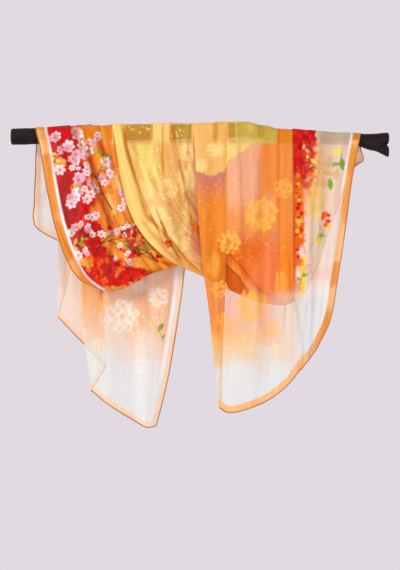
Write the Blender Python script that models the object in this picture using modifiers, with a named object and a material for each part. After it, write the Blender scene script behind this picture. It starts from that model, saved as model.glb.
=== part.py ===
"""A gauze scarf draped over a bare branch, built in metres with +Z up.

The branch runs along X with its axis through the origin, and -Y is the front. The scarf
starts as a pleated end hanging behind the branch at the left, comes over the top, falls in
front as a printed lobe and a pleated sweep, passes under the branch to the back at the
right, comes over the top again and hangs in front as the right end. Sizes in the tables are
millimetres, and every table has a row for each fold line, edge or bend of the cloth.
"""

import math
from collections import namedtuple

import bmesh
import bpy
import numpy as np
from mathutils import Vector

MM = 0.001
WELD = 0.00001  # metres within which a tube's doubled points are one
SAW_WELD = 0.00005  # the same where the saw cuts near an old point
SAW_TOUCH = 0.000001  # how near the saw's plane a point counts as on it

# The branch
SAWN_END = 380.0  # half the length between the two sawn faces
BRANCH_STEP = 16.0  # between the rings of a tube
BARK_SIDES = 6  # bevel resolution, which gives 16 sides

BranchPoint = namedtuple("BranchPoint", "x z radius")
STEM = (
    BranchPoint(-400, -11.0, 16.5),
    BranchPoint(-320, -9.0, 16.5),
    BranchPoint(-200, -4.5, 16.0),
    BranchPoint(-100, -1.5, 15.5),
    BranchPoint(0, 0.0, 15.0),
    BranchPoint(60, 2.5, 15.0),
    BranchPoint(94, 3.2, 15.2),
    BranchPoint(130, -3.5, 14.0),
    BranchPoint(160, -9.0, 13.5),
    BranchPoint(220, -12.0, 13.0),
    BranchPoint(290, -15.0, 12.5),
    BranchPoint(335, -17.0, 12.5),
    BranchPoint(400, -12.5, 11.0),
)
FORK = (
    BranchPoint(312, -19.0, 9.0),
    BranchPoint(345, -27.0, 11.0),
    BranchPoint(400, -49.0, 9.5),
)

# The cloth
WALL = 1.0
TOP_GAP = 0.4  # between the front and the back cloth along the top of the branch
WRAP_PLEAT = 2.2  # from layer to layer of a pleat where it lies on the branch
HANG_PLEAT = 4.0  # the same where the cloth hangs free
WRAP_STEPS = 4  # rows of faces over a quarter of the branch
SPAN_STEPS = 3  # rows of faces from one height to the next
TURN_STEPS = 4  # faces round the edge of a fold
LIP_RADIUS = 2.0
LIP_STEPS = 2

FRONT = -1
BACK = 1
PLACES = 2  # where the places start in a line's numbers, after its crest and its lift

# crest: x on top of the branch; lift: clear height of the cloth's middle over the bark
# there; turn: 0 for an edge or bend, 1 where the cloth folds over outward, away from the
# branch, and -1 inward; faces: how many lie between this row and the next one; lip: how
# far the cloth is turned up behind; then (x, y, z) at six heights down to the foot.
Fold = namedtuple("Fold", "name crest lift turn faces lip neck upper middle lower hem foot")

LEFT_END = (
    Fold("outer hem", -326, 1.0, 0, 2, 0, (-334, 34, -39), (-335, 34, -79),
         (-337, 35, -119), (-338, 35, -149), (-340, 35, -167), (-337, 35, -188)),
    Fold("corner bend", -300, 2.4, 0, 2, 0, (-308, 34, -39), (-314, 35, -83),
         (-316, 36, -123), (-316, 36, -155), (-316, 36, -181), (-316, 35, -205)),
    Fold("first tuck", -262, 4.3, -1, 2, 0, (-256, 32.5, -39), (-254, 32.5, -89),
         (-252, 32.5, -139), (-252, 32.5, -179), (-252, 32.5, -211), (-252, 32.5, -236)),
    Fold("second fold", -265.5, 2.1, -1, 3, 0, (-287, 28.5, -39), (-289, 28.5, -119),
         (-289, 28.5, -199), (-289, 28.5, -263), (-289, 28.5, -323), (-289, 28.5, -375)),
    Fold("second tuck", -218, 4.3, -1, 2, 0, (-216, 24.5, -39), (-208, 24.5, -119),
         (-202, 24.5, -209), (-198, 24.5, -299), (-194, 24.5, -389), (-190, 24.5, -475)),
    Fold("main fold", -221.5, 2.1, -1, 2, 0, (-232, 20.5, -39), (-242, 20.5, -139),
         (-242, 20.5, -279), (-239, 20.5, -389), (-228, 20.5, -469), (-221, 20.5, -523)),
    Fold("left bend", -190, 1.0, 0, 3, 0, (-192, 18, -39), (-192, 17, -139),
         (-190, 14, -279), (-188, 13, -389), (-186, 14, -489), (-184, 15, -552)),
    Fold("middle bend", -140, 1.0, 0, 2, 0, (-140, 19, -39), (-138, 20, -139),
         (-136, 21, -279), (-134, 21, -389), (-132, 21, -509), (-132, 20, -585)),
    Fold("right bend", -96, 1.0, 0, 3, 0, (-100, 18, -39), (-102, 16, -139),
         (-106, 13, -279), (-108, 12, -399), (-108, 13, -519), (-107, 14, -597)),
    Fold("long hem", -20, 1.0, 0, 0, 0, (-20, 18, -39), (-23, 19, -139),
         (-31, 20, -273), (-44, 20, -375), (-64, 19, -495), (-88, 18, -594)),
)

FRONT_LOBE = (
    Fold("outer hem", -330, 1.0, 0, 1, 6, (-321, -18, -30), (-307, -21, -113),
         (-290, -24, -191), (-268, -26, -255), (-240, -27, -298), (-197, -26, -319)),
    Fold("stripe bend", -311, 1.0, 0, 2, 12, (-302, -19, -29), (-290, -22, -105),
         (-272, -26, -179), (-248, -28, -237), (-220, -29, -283), (-182, -27, -319)),
    Fold("blossom bend", -276, 1.0, 0, 3, 22, (-270, -18, -29), (-258, -21, -99),
         (-240, -26, -167), (-216, -29, -223), (-188, -29, -269), (-158, -27, -316)),
    Fold("twig ridge", -240, 1.0, 0, 3, 32, (-234, -20, -29), (-224, -25, -95),
         (-206, -25, -159), (-180, -25, -215), (-152, -26, -259), (-130, -25, -303)),
    Fold("orange bend", -206, 1.0, 0, 3, 38, (-198, -18, -29), (-188, -20, -95),
         (-170, -22, -155), (-144, -22, -207), (-116, -21, -247), (-96, -20, -284)),
    Fold("edge under the sweep", -158, 1.0, 0, 0, 30, (-148, -18, -39), (-134, -18, -99),
         (-118, -19, -151), (-94, -18, -199), (-68, -15, -239), (-36, -11, -268)),
)

FRONT_SWEEP = (
    Fold("tucked edge", -152, 3.2, 0, 2, 0, (-144, -22, -39), (-128, -24, -109),
         (-108, -25, -165), (-80, -24, -215), (-44, -18, -247), (8, -5, -267)),
    Fold("left fold", -176, 4.3, 1, 1, 0, (-167, -24, -39), (-156, -26, -106),
         (-140, -27, -163), (-108, -26, -217), (-56, -20, -263), (8, -7, -293)),
    Fold("bright ridge", -162, 5.4, 0, 2, 0, (-150, -28, -39), (-130, -31, -105),
         (-108, -33, -157), (-80, -32, -213), (-40, -24, -249), (8, -9, -279)),
    Fold("dark valley", -138, 1.8, 0, 2, 0, (-132, -22, -39), (-114, -26, -107),
         (-96, -29, -163), (-66, -28, -203), (-32, -20, -231), (8, -9, -257)),
    Fold("open panel", -112, 1.0, 0, 2, 0, (-104, -19, -39), (-90, -26, -101),
         (-70, -31, -153), (-44, -28, -193), (-16, -17, -219), (8, -9, -237)),
    Fold("pleat under", -62, 2.3, 1, 2, 0, (-60, -21, -39), (-52, -22, -87),
         (-38, -21, -131), (-22, -16, -163), (-4, -10, -189), (8, -7, -205)),
    Fold("pleat edge", -95, 4.5, 1, 2, 0, (-88, -25, -39), (-74, -26, -97),
         (-52, -25, -145), (-32, -20, -177), (-10, -14, -203), (8, -11, -219)),
    Fold("pleat shoulder", -54, 4.6, 0, 2, 0, (-54, -25, -39), (-45, -25, -83),
         (-31, -23, -123), (-17, -17, -153), (-1, -12, -177), (8, -10, -190)),
    Fold("inner edge", -19, 1.0, 0, 0, 0, (-9, -14, -38), (-4, -12, -61),
         (0, -10, -80), (4, -9, -98), (6, -8, -112), (8, -8, -123)),
)

BACK_SWAG = (
    Fold("seam", -12, 1.0, 0, 2, 76, (3, 14, -45), (9.4, 4, -85),
         (9.4, -7, -130), (9.4, -8, -190), (9.4, -8, -245), (9.4, -8, -291)),
    Fold("near bend", 30, 1.0, 0, 2, 84, (34, 16, -39), (38, 9, -99),
         (42, 2, -149), (44, -2, -209), (44, -5, -263), (46, -7, -311)),
    Fold("swag ridge", 80, 1.3, 0, 4, 62, (80, 18, -39), (80, 12, -119),
         (80, 4, -189), (80, -2, -249), (82, -6, -293), (84, -7, -329)),
    Fold("swag valley", 132, 1.5, 0, 3, 24, (130, 18, -39), (124, 17, -119),
         (120, 11, -199), (120, 5, -259), (120, 0, -307), (121, -3, -342)),
    Fold("deep ridge", 200, 1.2, 0, 2, 8, (196, 17, -39), (188, 11, -119),
         (180, 5, -199), (174, 0, -263), (170, -3, -313), (166, -4, -349)),
    Fold("far bend", 270, 1.0, 0, 2, 6, (264, 18, -39), (246, 17, -109),
         (226, 13, -179), (212, 8, -243), (200, 3, -299), (191, 0, -341)),
    Fold("peeking hem", 322, 1.0, 0, 0, 5, (326, 17, -37), (330, 18, -62),
         (291, 16, -137), (258, 12, -239), (236, 7, -289), (208, 2, -331)),
)

RIGHT_END = (
    Fold("turned edge", 52, 1.0, 0, 3, 0, (52, -17, -39), (52, -18, -139),
         (51, -18, -259), (48, -18, -359), (43, -18, -469), (43, -18, -529)),
    Fold("left fold", -14, 2.1, 1, 3, 0, (-10, -20, -39), (-5, -20, -139),
         (4, -20, -259), (18, -20, -363), (29, -20, -475), (38, -20, -555)),
    Fold("bend over the turning", 60, 3.2, 0, 2, 0, (60, -21, -39), (60, -23, -139),
         (59, -23, -259), (58, -23, -379), (56, -22, -489), (56, -22, -564)),
    Fold("soft ridge", 100, 1.4, 0, 3, 0, (102, -18, -39), (104, -22, -139),
         (106, -25, -259), (100, -25, -379), (92, -24, -479), (86, -22, -560)),
    Fold("soft valley", 140, 1.6, 0, 2, 0, (144, -17, -39), (146, -18, -139),
         (150, -18, -259), (148, -18, -389), (142, -19, -479), (132, -20, -542)),
    Fold("bend by the pleat", 172, 1.6, 0, 2, 0, (174, -18, -39), (176, -19, -139),
         (178, -20, -259), (180, -20, -369), (180, -20, -449), (174, -20, -511)),
    Fold("pleat under", 206, 2.3, 1, 1, 0, (206, -20, -39), (206, -21, -139),
         (209, -21, -259), (208, -21, -359), (208, -21, -421), (207, -21, -471)),
    Fold("pleat edge", 186, 4.5, 1, 2, 0, (187, -24, -39), (187, -25, -139),
         (188, -25, -259), (191, -25, -359), (197, -25, -429), (200, -25, -479)),
    Fold("pleat shoulder", 214, 4.6, 0, 2, 0, (216, -25, -39), (216, -26, -129),
         (216, -26, -246), (217, -25, -342), (216, -24, -407), (213, -24, -464)),
    Fold("leaf bend", 264, 1.0, 0, 3, 0, (262, -17, -39), (256, -19, -121),
         (248, -20, -229), (240, -19, -325), (232, -19, -394), (223, -19, -452)),
    Fold("long hem", 322, 1.0, 0, 0, 0, (316, -17, -33), (303, -19, -107),
         (292, -20, -189), (276, -20, -295), (261, -19, -378), (235, -18, -435)),
)

Paint = namedtuple("Paint", "red green blue roughness")
BARK = Paint(0.017, 0.009, 0.008, 0.55)
BORDER_PEACH = Paint(0.83, 0.50, 0.33, 0.8)
BLOSSOM_RED = Paint(0.55, 0.05, 0.02, 0.8)
GOLD = Paint(0.80, 0.50, 0.16, 0.8)
DEEP_ORANGE = Paint(0.75, 0.24, 0.05, 0.8)
PALE_ORANGE = Paint(0.84, 0.42, 0.16, 0.8)


def clear_scene():
    for item in list(bpy.data.objects):
        bpy.data.objects.remove(item, do_unlink=True)


def smooth_through(points, place):
    """The point at place, 0 to the last index, on a soft curve through the points."""
    last = len(points) - 1
    first = min(int(place), last - 1)
    part = place - first
    here, there = points[first], points[first + 1]
    before = points[first - 1] if first else here * 2 - there
    after = points[first + 2] if first + 2 <= last else there * 2 - here
    slope_here = (there - before) / 2
    slope_there = (after - here) / 2
    square, cube = part**2, part**3
    return (
        here * (2 * cube - 3 * square + 1)
        + slope_here * (cube - 2 * square + part)
        + there * (3 * square - 2 * cube)
        + slope_there * (cube - square)
    )


def branch_at(x, table=STEM):
    """The height of the branch's axis and its radius at x."""
    for here, there in zip(table, table[1:]):
        if x <= there.x:
            part = (x - here.x) / (there.x - here.x)
            soft = part * part * (3 - 2 * part)
            height = here.z + (there.z - here.z) * soft
            radius = here.radius + (there.radius - here.radius) * soft
            return height, radius
    return table[-1].z, table[-1].radius


def material(name, paint):
    made = bpy.data.materials.new(name)
    made.use_nodes = True
    shader = made.node_tree.nodes["Principled BSDF"]
    shader.inputs["Base Color"].default_value = (paint.red, paint.green, paint.blue, 1.0)
    shader.inputs["Roughness"].default_value = paint.roughness
    shader.inputs["Metallic"].default_value = 0.0
    made.diffuse_color = (paint.red, paint.green, paint.blue, 1.0)
    return made


def new_object(name, mesh, collection):
    item = bpy.data.objects.new(name, mesh)
    collection.objects.link(item)
    return item


def made_mesh(item):
    """Turns a curve or a modified object into the plain mesh that it shows."""
    graph = bpy.context.evaluated_depsgraph_get()
    mesh = bpy.data.meshes.new_from_object(item.evaluated_get(graph))
    mesh.name = item.name
    return mesh


def tube(name, table, collection):
    """A round tube along a table of the branch, as a welded mesh."""
    first, last = table[0].x, table[-1].x
    count = max(3, round((last - first) / BRANCH_STEP))
    line = bpy.data.curves.new(name, "CURVE")
    line.dimensions = "3D"
    line.bevel_depth = MM
    line.bevel_resolution = BARK_SIDES
    line.use_fill_caps = True
    spline = line.splines.new("POLY")
    spline.points.add(count)
    for index, point in enumerate(spline.points):
        x = first + (last - first) * index / count
        height, radius = branch_at(x, table)
        point.co = (x * MM, 0.0, height * MM, 1.0)
        point.radius = radius
    drawn = new_object(name + " line", line, collection)
    mesh = made_mesh(drawn)
    bpy.data.objects.remove(drawn, do_unlink=True)
    shape = bmesh.new()
    shape.from_mesh(mesh)
    bmesh.ops.remove_doubles(shape, verts=shape.verts, dist=WELD)
    bmesh.ops.recalc_face_normals(shape, faces=shape.faces)
    shape.to_mesh(mesh)
    shape.free()
    return new_object(name, mesh, collection)


def saw_off(shape, side):
    """Cuts the branch square across at one end and closes the cut."""
    parts = shape.verts[:] + shape.edges[:] + shape.faces[:]
    cut = bmesh.ops.bisect_plane(
        shape,
        geom=parts,
        dist=SAW_TOUCH,
        plane_co=(side * SAWN_END * MM, 0, 0),
        plane_no=(side, 0, 0),
        clear_outer=True,
    )
    rim = [part for part in cut["geom_cut"] if isinstance(part, bmesh.types.BMEdge)]
    bmesh.ops.holes_fill(shape, edges=rim, sides=0)


def build_branch(collection, cutters):
    """The stem and its fork, joined into one solid and sawn at both ends."""
    stem = tube("branch", STEM, collection)
    fork = tube("branch fork", FORK, cutters)
    fork.hide_render = True
    fork.display_type = "WIRE"
    joint = stem.modifiers.new("fork", "BOOLEAN")
    joint.operation = "UNION"
    joint.solver = "EXACT"
    joint.object = fork
    joined = made_mesh(stem)
    stem.modifiers.clear()
    shape = bmesh.new()
    shape.from_mesh(joined)
    for side in (-1, 1):
        saw_off(shape, side)
    bmesh.ops.remove_doubles(shape, verts=shape.verts, dist=SAW_WELD)
    bmesh.ops.recalc_face_normals(shape, faces=shape.faces)
    shape.to_mesh(joined)
    shape.free()
    stem.data = joined
    stem.data.materials.clear()
    stem.data.materials.append(material("dark bark", BARK))
    return stem


def numbers_of(fold):
    """A fold line as one row of numbers: its crest, its lift and its six places."""
    return np.array([fold.crest, fold.lift, *fold.neck, *fold.upper, *fold.middle,
                     *fold.lower, *fold.hem, *fold.foot], dtype=float)


def shifted(numbers, side, aside, outward):
    """A line beside a fold line, by shares of half the depth of a pleat."""
    line = numbers.copy()
    line[0] += aside * WRAP_PLEAT / 2
    line[1] += outward * WRAP_PLEAT / 2
    places = line[PLACES:].reshape(-1, 3)
    above = np.array([numbers[0], 0.0, 0.0])
    route = np.vstack([above, numbers[PLACES:].reshape(-1, 3), numbers[-3:]])
    for index, place in enumerate(places):
        along = route[index + 2] - route[index]
        beside = np.array([-along[2], 0.0, along[0]])
        beside /= np.linalg.norm(beside)
        place += beside * (aside * HANG_PLEAT / 2)
        place[1] += side * outward * HANG_PLEAT / 2
    return line


def run_lines(ends, faces):
    """The lines of a run of cloth through its edges and bends, without the last one."""
    lines = []
    for index in range(len(ends) - 1):
        for step in range(faces[index]):
            lines.append(smooth_through(ends, index + step / faces[index]))
    return lines


def turn_lines(fold, side, heading):
    """The lines round a folded edge, from the run that arrives to the run that leaves."""
    lines = []
    for step in range(TURN_STEPS + 1):
        angle = math.pi * (step / TURN_STEPS - 0.5)
        aside = heading * (math.cos(angle) - 1)
        lines.append(shifted(numbers_of(fold), side, aside, fold.turn * math.sin(angle)))
    return lines


def cloth_lines(folds, side):
    """All lines of a stretch of cloth: soft runs joined by folded edges."""
    lines = []
    ends = [numbers_of(folds[0])]
    faces = [folds[0].faces]
    for last, fold in zip(folds, folds[1:]):
        if fold.turn:
            turned = turn_lines(fold, side, math.copysign(1, fold.crest - last.crest))
            ends.append(turned[0])
            lines += run_lines(ends, faces)
            lines += turned[:-1]
            ends = [turned[-1]]
            faces = [fold.faces]
        else:
            ends.append(numbers_of(fold))
            faces.append(fold.faces)
    lines += run_lines(ends, faces)
    lines.append(ends[-1])
    return lines


def column_of(line, side):
    """The points of a line, over the branch first and then down to its foot."""
    crest, lift = line[:PLACES]
    height, radius = branch_at(crest)
    reach = radius + lift
    start = math.acos(TOP_GAP / 2 / reach)
    points = []
    for step in range(WRAP_STEPS):
        angle = start * (1 - step / WRAP_STEPS)
        out = Vector((0, side * math.cos(angle), math.sin(angle)))
        points.append(Vector((crest, 0, height)) + out * reach)
    places = [Vector((crest, side * reach, height))]
    places += [Vector(place) for place in line[PLACES:].reshape(-1, 3)]
    spans = len(places) - 1
    for step in range(SPAN_STEPS * spans + 1):
        points.append(smooth_through(places, step / SPAN_STEPS))
    return points


def lip_heights(folds):
    """The height of the turned-up lip at each column of a stretch without folded edges."""
    heights = []
    for here, there in zip(folds, folds[1:]):
        for step in range(here.faces):
            heights.append(here.lip + (there.lip - here.lip) * step / here.faces)
    heights.append(folds[-1].lip)
    return heights


def add_lip(columns, folds):
    """Turns the foot of the cloth round and up behind itself."""
    back = Vector((0, 1, 0))
    for column, height in zip(columns, lip_heights(folds)):
        foot = column[-1]
        down = (foot - column[-2]).normalized()
        centre = foot + back * LIP_RADIUS
        for step in range(1, TURN_STEPS + 1):
            angle = math.pi * step / TURN_STEPS
            column.append(centre + (down * math.sin(angle) - back * math.cos(angle)) * LIP_RADIUS)
        turned = column[-1]
        for step in range(1, LIP_STEPS + 1):
            column.append(turned - down * (height * step / LIP_STEPS))


def build_cloth(name, folds, side, paint, collection):
    """One stretch of the scarf as a thin closed wall."""
    columns = [column_of(line, side) for line in cloth_lines(folds, side)]
    if folds[0].lip:
        add_lip(columns, folds)
    rows = len(columns[0])
    shape = bmesh.new()
    grid = [[shape.verts.new(point * MM) for point in column] for column in columns]
    for left, right in zip(grid, grid[1:]):
        for row in range(rows - 1):
            shape.faces.new((left[row], left[row + 1], right[row + 1], right[row]))
    mesh = bpy.data.meshes.new(name)
    shape.to_mesh(mesh)
    shape.free()
    item = new_object(name, mesh, collection)
    item.data.materials.append(material(name + " cloth", paint))
    wall = item.modifiers.new("wall", "SOLIDIFY")
    wall.thickness = WALL * MM
    wall.offset = 0.0
    wall.use_even_offset = True
    return item


def main():
    clear_scene()
    scene = bpy.context.scene
    scarf = bpy.data.collections.new("gauze scarf on a branch")
    cutters = bpy.data.collections.new("cutters")
    scene.collection.children.link(scarf)
    scene.collection.children.link(cutters)
    build_branch(scarf, cutters)
    build_cloth("left_end", LEFT_END, BACK, BORDER_PEACH, scarf)
    build_cloth("front_lobe", FRONT_LOBE, FRONT, BLOSSOM_RED, scarf)
    build_cloth("front_sweep", FRONT_SWEEP, FRONT, GOLD, scarf)
    build_cloth("back_swag", BACK_SWAG, BACK, DEEP_ORANGE, scarf)
    build_cloth("right_end", RIGHT_END, FRONT, PALE_ORANGE, scarf)


main()
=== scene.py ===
"""Looks of a gauze scarf draped over a bare branch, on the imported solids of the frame.

Sizes in the tables are millimetres in the frame's own axes: X along the branch, -Y towards
the viewer, Z up, with the branch's axis through the origin.
"""

import math
from collections import namedtuple
from contextlib import contextmanager

import bmesh
import bpy
import numpy as np
from bpy.props import FloatProperty, FloatVectorProperty, PointerProperty
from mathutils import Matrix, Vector, noise


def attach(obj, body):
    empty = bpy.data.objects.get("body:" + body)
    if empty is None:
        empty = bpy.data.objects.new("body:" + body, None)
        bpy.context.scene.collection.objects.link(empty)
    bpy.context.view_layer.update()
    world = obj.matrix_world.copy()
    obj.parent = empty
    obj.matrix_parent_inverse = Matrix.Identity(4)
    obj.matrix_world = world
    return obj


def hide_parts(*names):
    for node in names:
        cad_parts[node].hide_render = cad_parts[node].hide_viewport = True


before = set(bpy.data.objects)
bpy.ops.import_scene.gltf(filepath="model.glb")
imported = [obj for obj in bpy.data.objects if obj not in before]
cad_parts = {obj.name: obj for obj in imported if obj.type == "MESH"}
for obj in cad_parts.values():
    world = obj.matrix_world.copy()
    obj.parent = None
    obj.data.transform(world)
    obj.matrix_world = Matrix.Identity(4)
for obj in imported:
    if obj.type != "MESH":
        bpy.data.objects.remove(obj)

bl_info = {
    "name": "Gauze scarf on a branch",
    "version": (1, 0, 0),
    "blender": (4, 5, 0),
    "location": "View3D > Sidebar > Scarf",
    "description": "Dresses the packed solids of a draped gauze scarf and its branch",
    "category": "Object",
}

MM = 0.001
FULL_TURN = 2 * math.pi
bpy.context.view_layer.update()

FRONT, BACK = -1, 1

# The cloth on the branch and below it
WRAP_PLEAT = 1.0  # from layer to layer of a pleat on the branch
HANG_PLEAT = 2.6  # the same where it hangs
LIFT_SHARE = 0.45  # how much of the solids' room over the bark the thin cloth takes up
LEAST_LIFT = 0.7
WRAP_LEAN = 0.4  # how much of its way aside the cloth goes while still on the branch
TURN_STEPS = 6  # lines round a folded edge
START_ANGLE = {BACK: math.pi * 0.5, FRONT: math.pi * 0.56}  # the front laps over the top
LIP_RADIUS = 1.4
CREST, LIFT, PLACES = 0, 1, 2  # where a line's numbers have its crest, its lift and its places
HEIGHTS = 6  # places below the branch in each line
CRINKLE = 0.18  # how high the finest unevenness of the gauze stands
CREST_WAVE = 0.7  # how far the cloth rides up unevenly along the top of the branch
HEM_STEP = 3.0  # from point to point of a rolled hem

# The branch, in metres
BARK_GRAIN = 0.0021
SAME_PLACE = 0.00001
SAWN_FROM = 0.3785  # past this the bark ends in its sawn faces
CLOTH_FROM = 0.33  # inside this the cloth lies on the bark

# The stage, in metres
PIXEL = 0.002  # of the cloth's front to a pixel of the picture
FRAME_TALL = 570 * PIXEL
FRAME_MIDDLE = (130.5 - 285) * PIXEL
CLOTH_FRONT = 0.02
FLOOR_RADIUS = 3.9
FLOOR_HEIGHT = -1.6
KEY_PLACE, KEY_SIZE = (-3.6, -3.2, 1.5), 2.0
FILL_PLACE, FILL_SIZE = (1.6, -2.4, 0.2), 1.6
LIGHT_AIM = (0, 0, -0.25)
AIR_FRONT, AIR_BACK = -0.7, 0.3  # between these the air's light brightens towards the back

BranchPoint = namedtuple("BranchPoint", "x z radius")
STEM = (
    BranchPoint(-400, -11.0, 16.5),
    BranchPoint(-320, -9.0, 16.5),
    BranchPoint(-200, -4.5, 16.0),
    BranchPoint(-100, -1.5, 15.5),
    BranchPoint(0, 0.0, 15.0),
    BranchPoint(60, 2.5, 15.0),
    BranchPoint(94, 3.2, 15.2),
    BranchPoint(130, -3.5, 14.0),
    BranchPoint(160, -9.0, 13.5),
    BranchPoint(220, -12.0, 13.0),
    BranchPoint(290, -15.0, 12.5),
    BranchPoint(335, -17.0, 12.5),
    BranchPoint(400, -12.5, 11.0),
)

# crest: x on top of the branch; lift: room between bark and cloth there; turn: 0 for an edge
# or bend, 1 where the cloth folds over outward and -1 inward; lip: how far the cloth is turned
# up at its foot; then (x, y, z) at six heights.
Fold = namedtuple("Fold", "name crest lift turn lip neck upper middle lower hem foot")

LEFT_END = (
    Fold("outer hem", -326, 1.0, 0, 0, (-334, 34, -39), (-335, 34, -79),
         (-337, 35, -119), (-338, 35, -149), (-340, 35, -167), (-337, 35, -188)),
    Fold("corner bend", -300, 2.4, 0, 0, (-308, 34, -39), (-314, 35, -83),
         (-316, 36, -123), (-316, 36, -155), (-316, 36, -181), (-316, 35, -205)),
    Fold("first tuck", -262, 4.3, -1, 0, (-256, 32.5, -39), (-254, 32.5, -89),
         (-252, 32.5, -139), (-252, 32.5, -179), (-252, 32.5, -211), (-252, 32.5, -236)),
    Fold("second fold", -265.5, 2.1, -1, 0, (-287, 28.5, -39), (-289, 28.5, -119),
         (-289, 28.5, -199), (-289, 28.5, -263), (-289, 28.5, -323), (-289, 28.5, -375)),
    Fold("second tuck", -218, 4.3, -1, 0, (-216, 24.5, -39), (-208, 24.5, -119),
         (-202, 24.5, -209), (-198, 24.5, -299), (-194, 24.5, -389), (-190, 24.5, -475)),
    Fold("main fold", -221.5, 2.1, -1, 0, (-232, 20.5, -39), (-242, 20.5, -139),
         (-242, 20.5, -279), (-239, 20.5, -389), (-228, 20.5, -469), (-221, 20.5, -523)),
    Fold("left bend", -190, 1.0, 0, 0, (-192, 18, -39), (-192, 17, -139),
         (-190, 14, -279), (-188, 13, -389), (-186, 14, -489), (-184, 15, -552)),
    Fold("middle bend", -140, 1.0, 0, 0, (-140, 19, -39), (-138, 20, -139),
         (-136, 21, -279), (-134, 21, -389), (-132, 21, -509), (-132, 20, -585)),
    Fold("right bend", -96, 1.0, 0, 0, (-100, 18, -39), (-102, 16, -139),
         (-106, 13, -279), (-108, 12, -399), (-108, 13, -519), (-107, 14, -597)),
    Fold("long hem", -8, 0.0, 0, 0, (-20, 18, -39), (-23, 19, -139),
         (-31, 20, -273), (-44, 20, -375), (-64, 19, -495), (-88, 18, -594)),
)

FRONT_LOBE = (
    Fold("outer hem", -330, 1.0, 0, 6, (-321, -18, -30), (-307, -21, -113),
         (-290, -24, -191), (-268, -26, -255), (-240, -27, -298), (-197, -26, -319)),
    Fold("stripe bend", -311, 1.0, 0, 12, (-302, -19, -29), (-290, -22, -105),
         (-272, -26, -179), (-248, -28, -237), (-220, -29, -283), (-182, -27, -319)),
    Fold("blossom bend", -276, 1.0, 0, 22, (-270, -18, -29), (-258, -21, -99),
         (-240, -26, -167), (-216, -29, -223), (-188, -29, -269), (-158, -27, -316)),
    Fold("twig ridge", -240, 1.0, 0, 32, (-234, -20, -29), (-224, -25, -95),
         (-206, -25, -159), (-180, -25, -215), (-152, -26, -259), (-130, -25, -303)),
    Fold("orange bend", -206, 1.0, 0, 38, (-198, -18, -29), (-188, -20, -95),
         (-170, -22, -155), (-144, -22, -207), (-116, -21, -247), (-96, -20, -284)),
    Fold("edge under the sweep", -158, 1.0, 0, 30, (-148, -18, -39), (-134, -18, -99),
         (-118, -19, -151), (-94, -18, -199), (-68, -15, -239), (-36, -11, -268)),
)

FRONT_SWEEP = (
    Fold("tucked edge", -152, 3.2, 0, 0, (-144, -22, -39), (-128, -24, -109),
         (-108, -25, -165), (-80, -24, -215), (-44, -18, -247), (8, -5, -267)),
    Fold("left fold", -176, 4.3, 1, 0, (-167, -24, -39), (-156, -26, -106),
         (-140, -27, -163), (-108, -26, -217), (-56, -20, -263), (8, -7, -293)),
    Fold("bright ridge", -162, 5.4, 0, 0, (-150, -28, -39), (-130, -31, -105),
         (-108, -33, -157), (-80, -32, -213), (-40, -24, -249), (8, -9, -279)),
    Fold("dark valley", -138, 1.8, 0, 0, (-132, -22, -39), (-114, -26, -107),
         (-96, -29, -163), (-66, -28, -203), (-32, -20, -231), (8, -9, -257)),
    Fold("open panel", -112, 1.0, 0, 0, (-104, -19, -39), (-90, -26, -101),
         (-70, -31, -153), (-44, -28, -193), (-16, -17, -219), (8, -9, -237)),
    Fold("pleat under", -62, 2.3, 1, 0, (-60, -21, -39), (-52, -22, -87),
         (-38, -21, -131), (-22, -16, -163), (-4, -10, -189), (8, -7, -205)),
    Fold("pleat edge", -95, 4.5, 1, 0, (-88, -25, -39), (-74, -26, -97),
         (-52, -25, -145), (-32, -20, -177), (-10, -14, -203), (8, -11, -219)),
    Fold("pleat shoulder", -54, 4.6, 0, 0, (-54, -25, -39), (-45, -25, -83),
         (-31, -23, -123), (-17, -17, -153), (-1, -12, -177), (8, -10, -190)),
    Fold("inner edge", -6, 0.0, 0, 0, (-9, -14, -38), (-4, -12, -61),
         (0, -10, -80), (4, -9, -98), (6, -8, -112), (8, -8, -123)),
)

BACK_SWAG = (
    Fold("seam", -16, 0.4, 0, 76, (-18, 15, -42), (-4, 6, -85),
         (9.4, -7, -130), (9.4, -8, -190), (9.4, -8, -245), (9.4, -8, -291)),
    Fold("near bend", 30, 1.0, 0, 84, (34, 16, -39), (38, 9, -99),
         (42, 2, -149), (44, -2, -209), (44, -5, -263), (46, -7, -311)),
    Fold("swag ridge", 80, 1.3, 0, 62, (80, 18, -39), (80, 12, -119),
         (80, 4, -189), (80, -2, -249), (82, -6, -293), (84, -7, -329)),
    Fold("swag valley", 132, 1.5, 0, 24, (130, 18, -39), (124, 17, -119),
         (120, 11, -199), (120, 5, -259), (120, 0, -307), (121, -3, -342)),
    Fold("deep ridge", 200, 1.2, 0, 8, (196, 17, -39), (188, 11, -119),
         (180, 5, -199), (174, 0, -263), (170, -3, -313), (166, -4, -349)),
    Fold("far bend", 270, 1.0, 0, 6, (264, 18, -39), (246, 17, -109),
         (226, 13, -179), (212, 8, -243), (200, 3, -299), (191, 0, -341)),
    Fold("peeking hem", 322, 1.0, 0, 5, (325, 17, -33), (330, 18, -58),
         (308, 17, -76), (262, 12, -196), (236, 7, -274), (208, 2, -331)),
)

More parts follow.
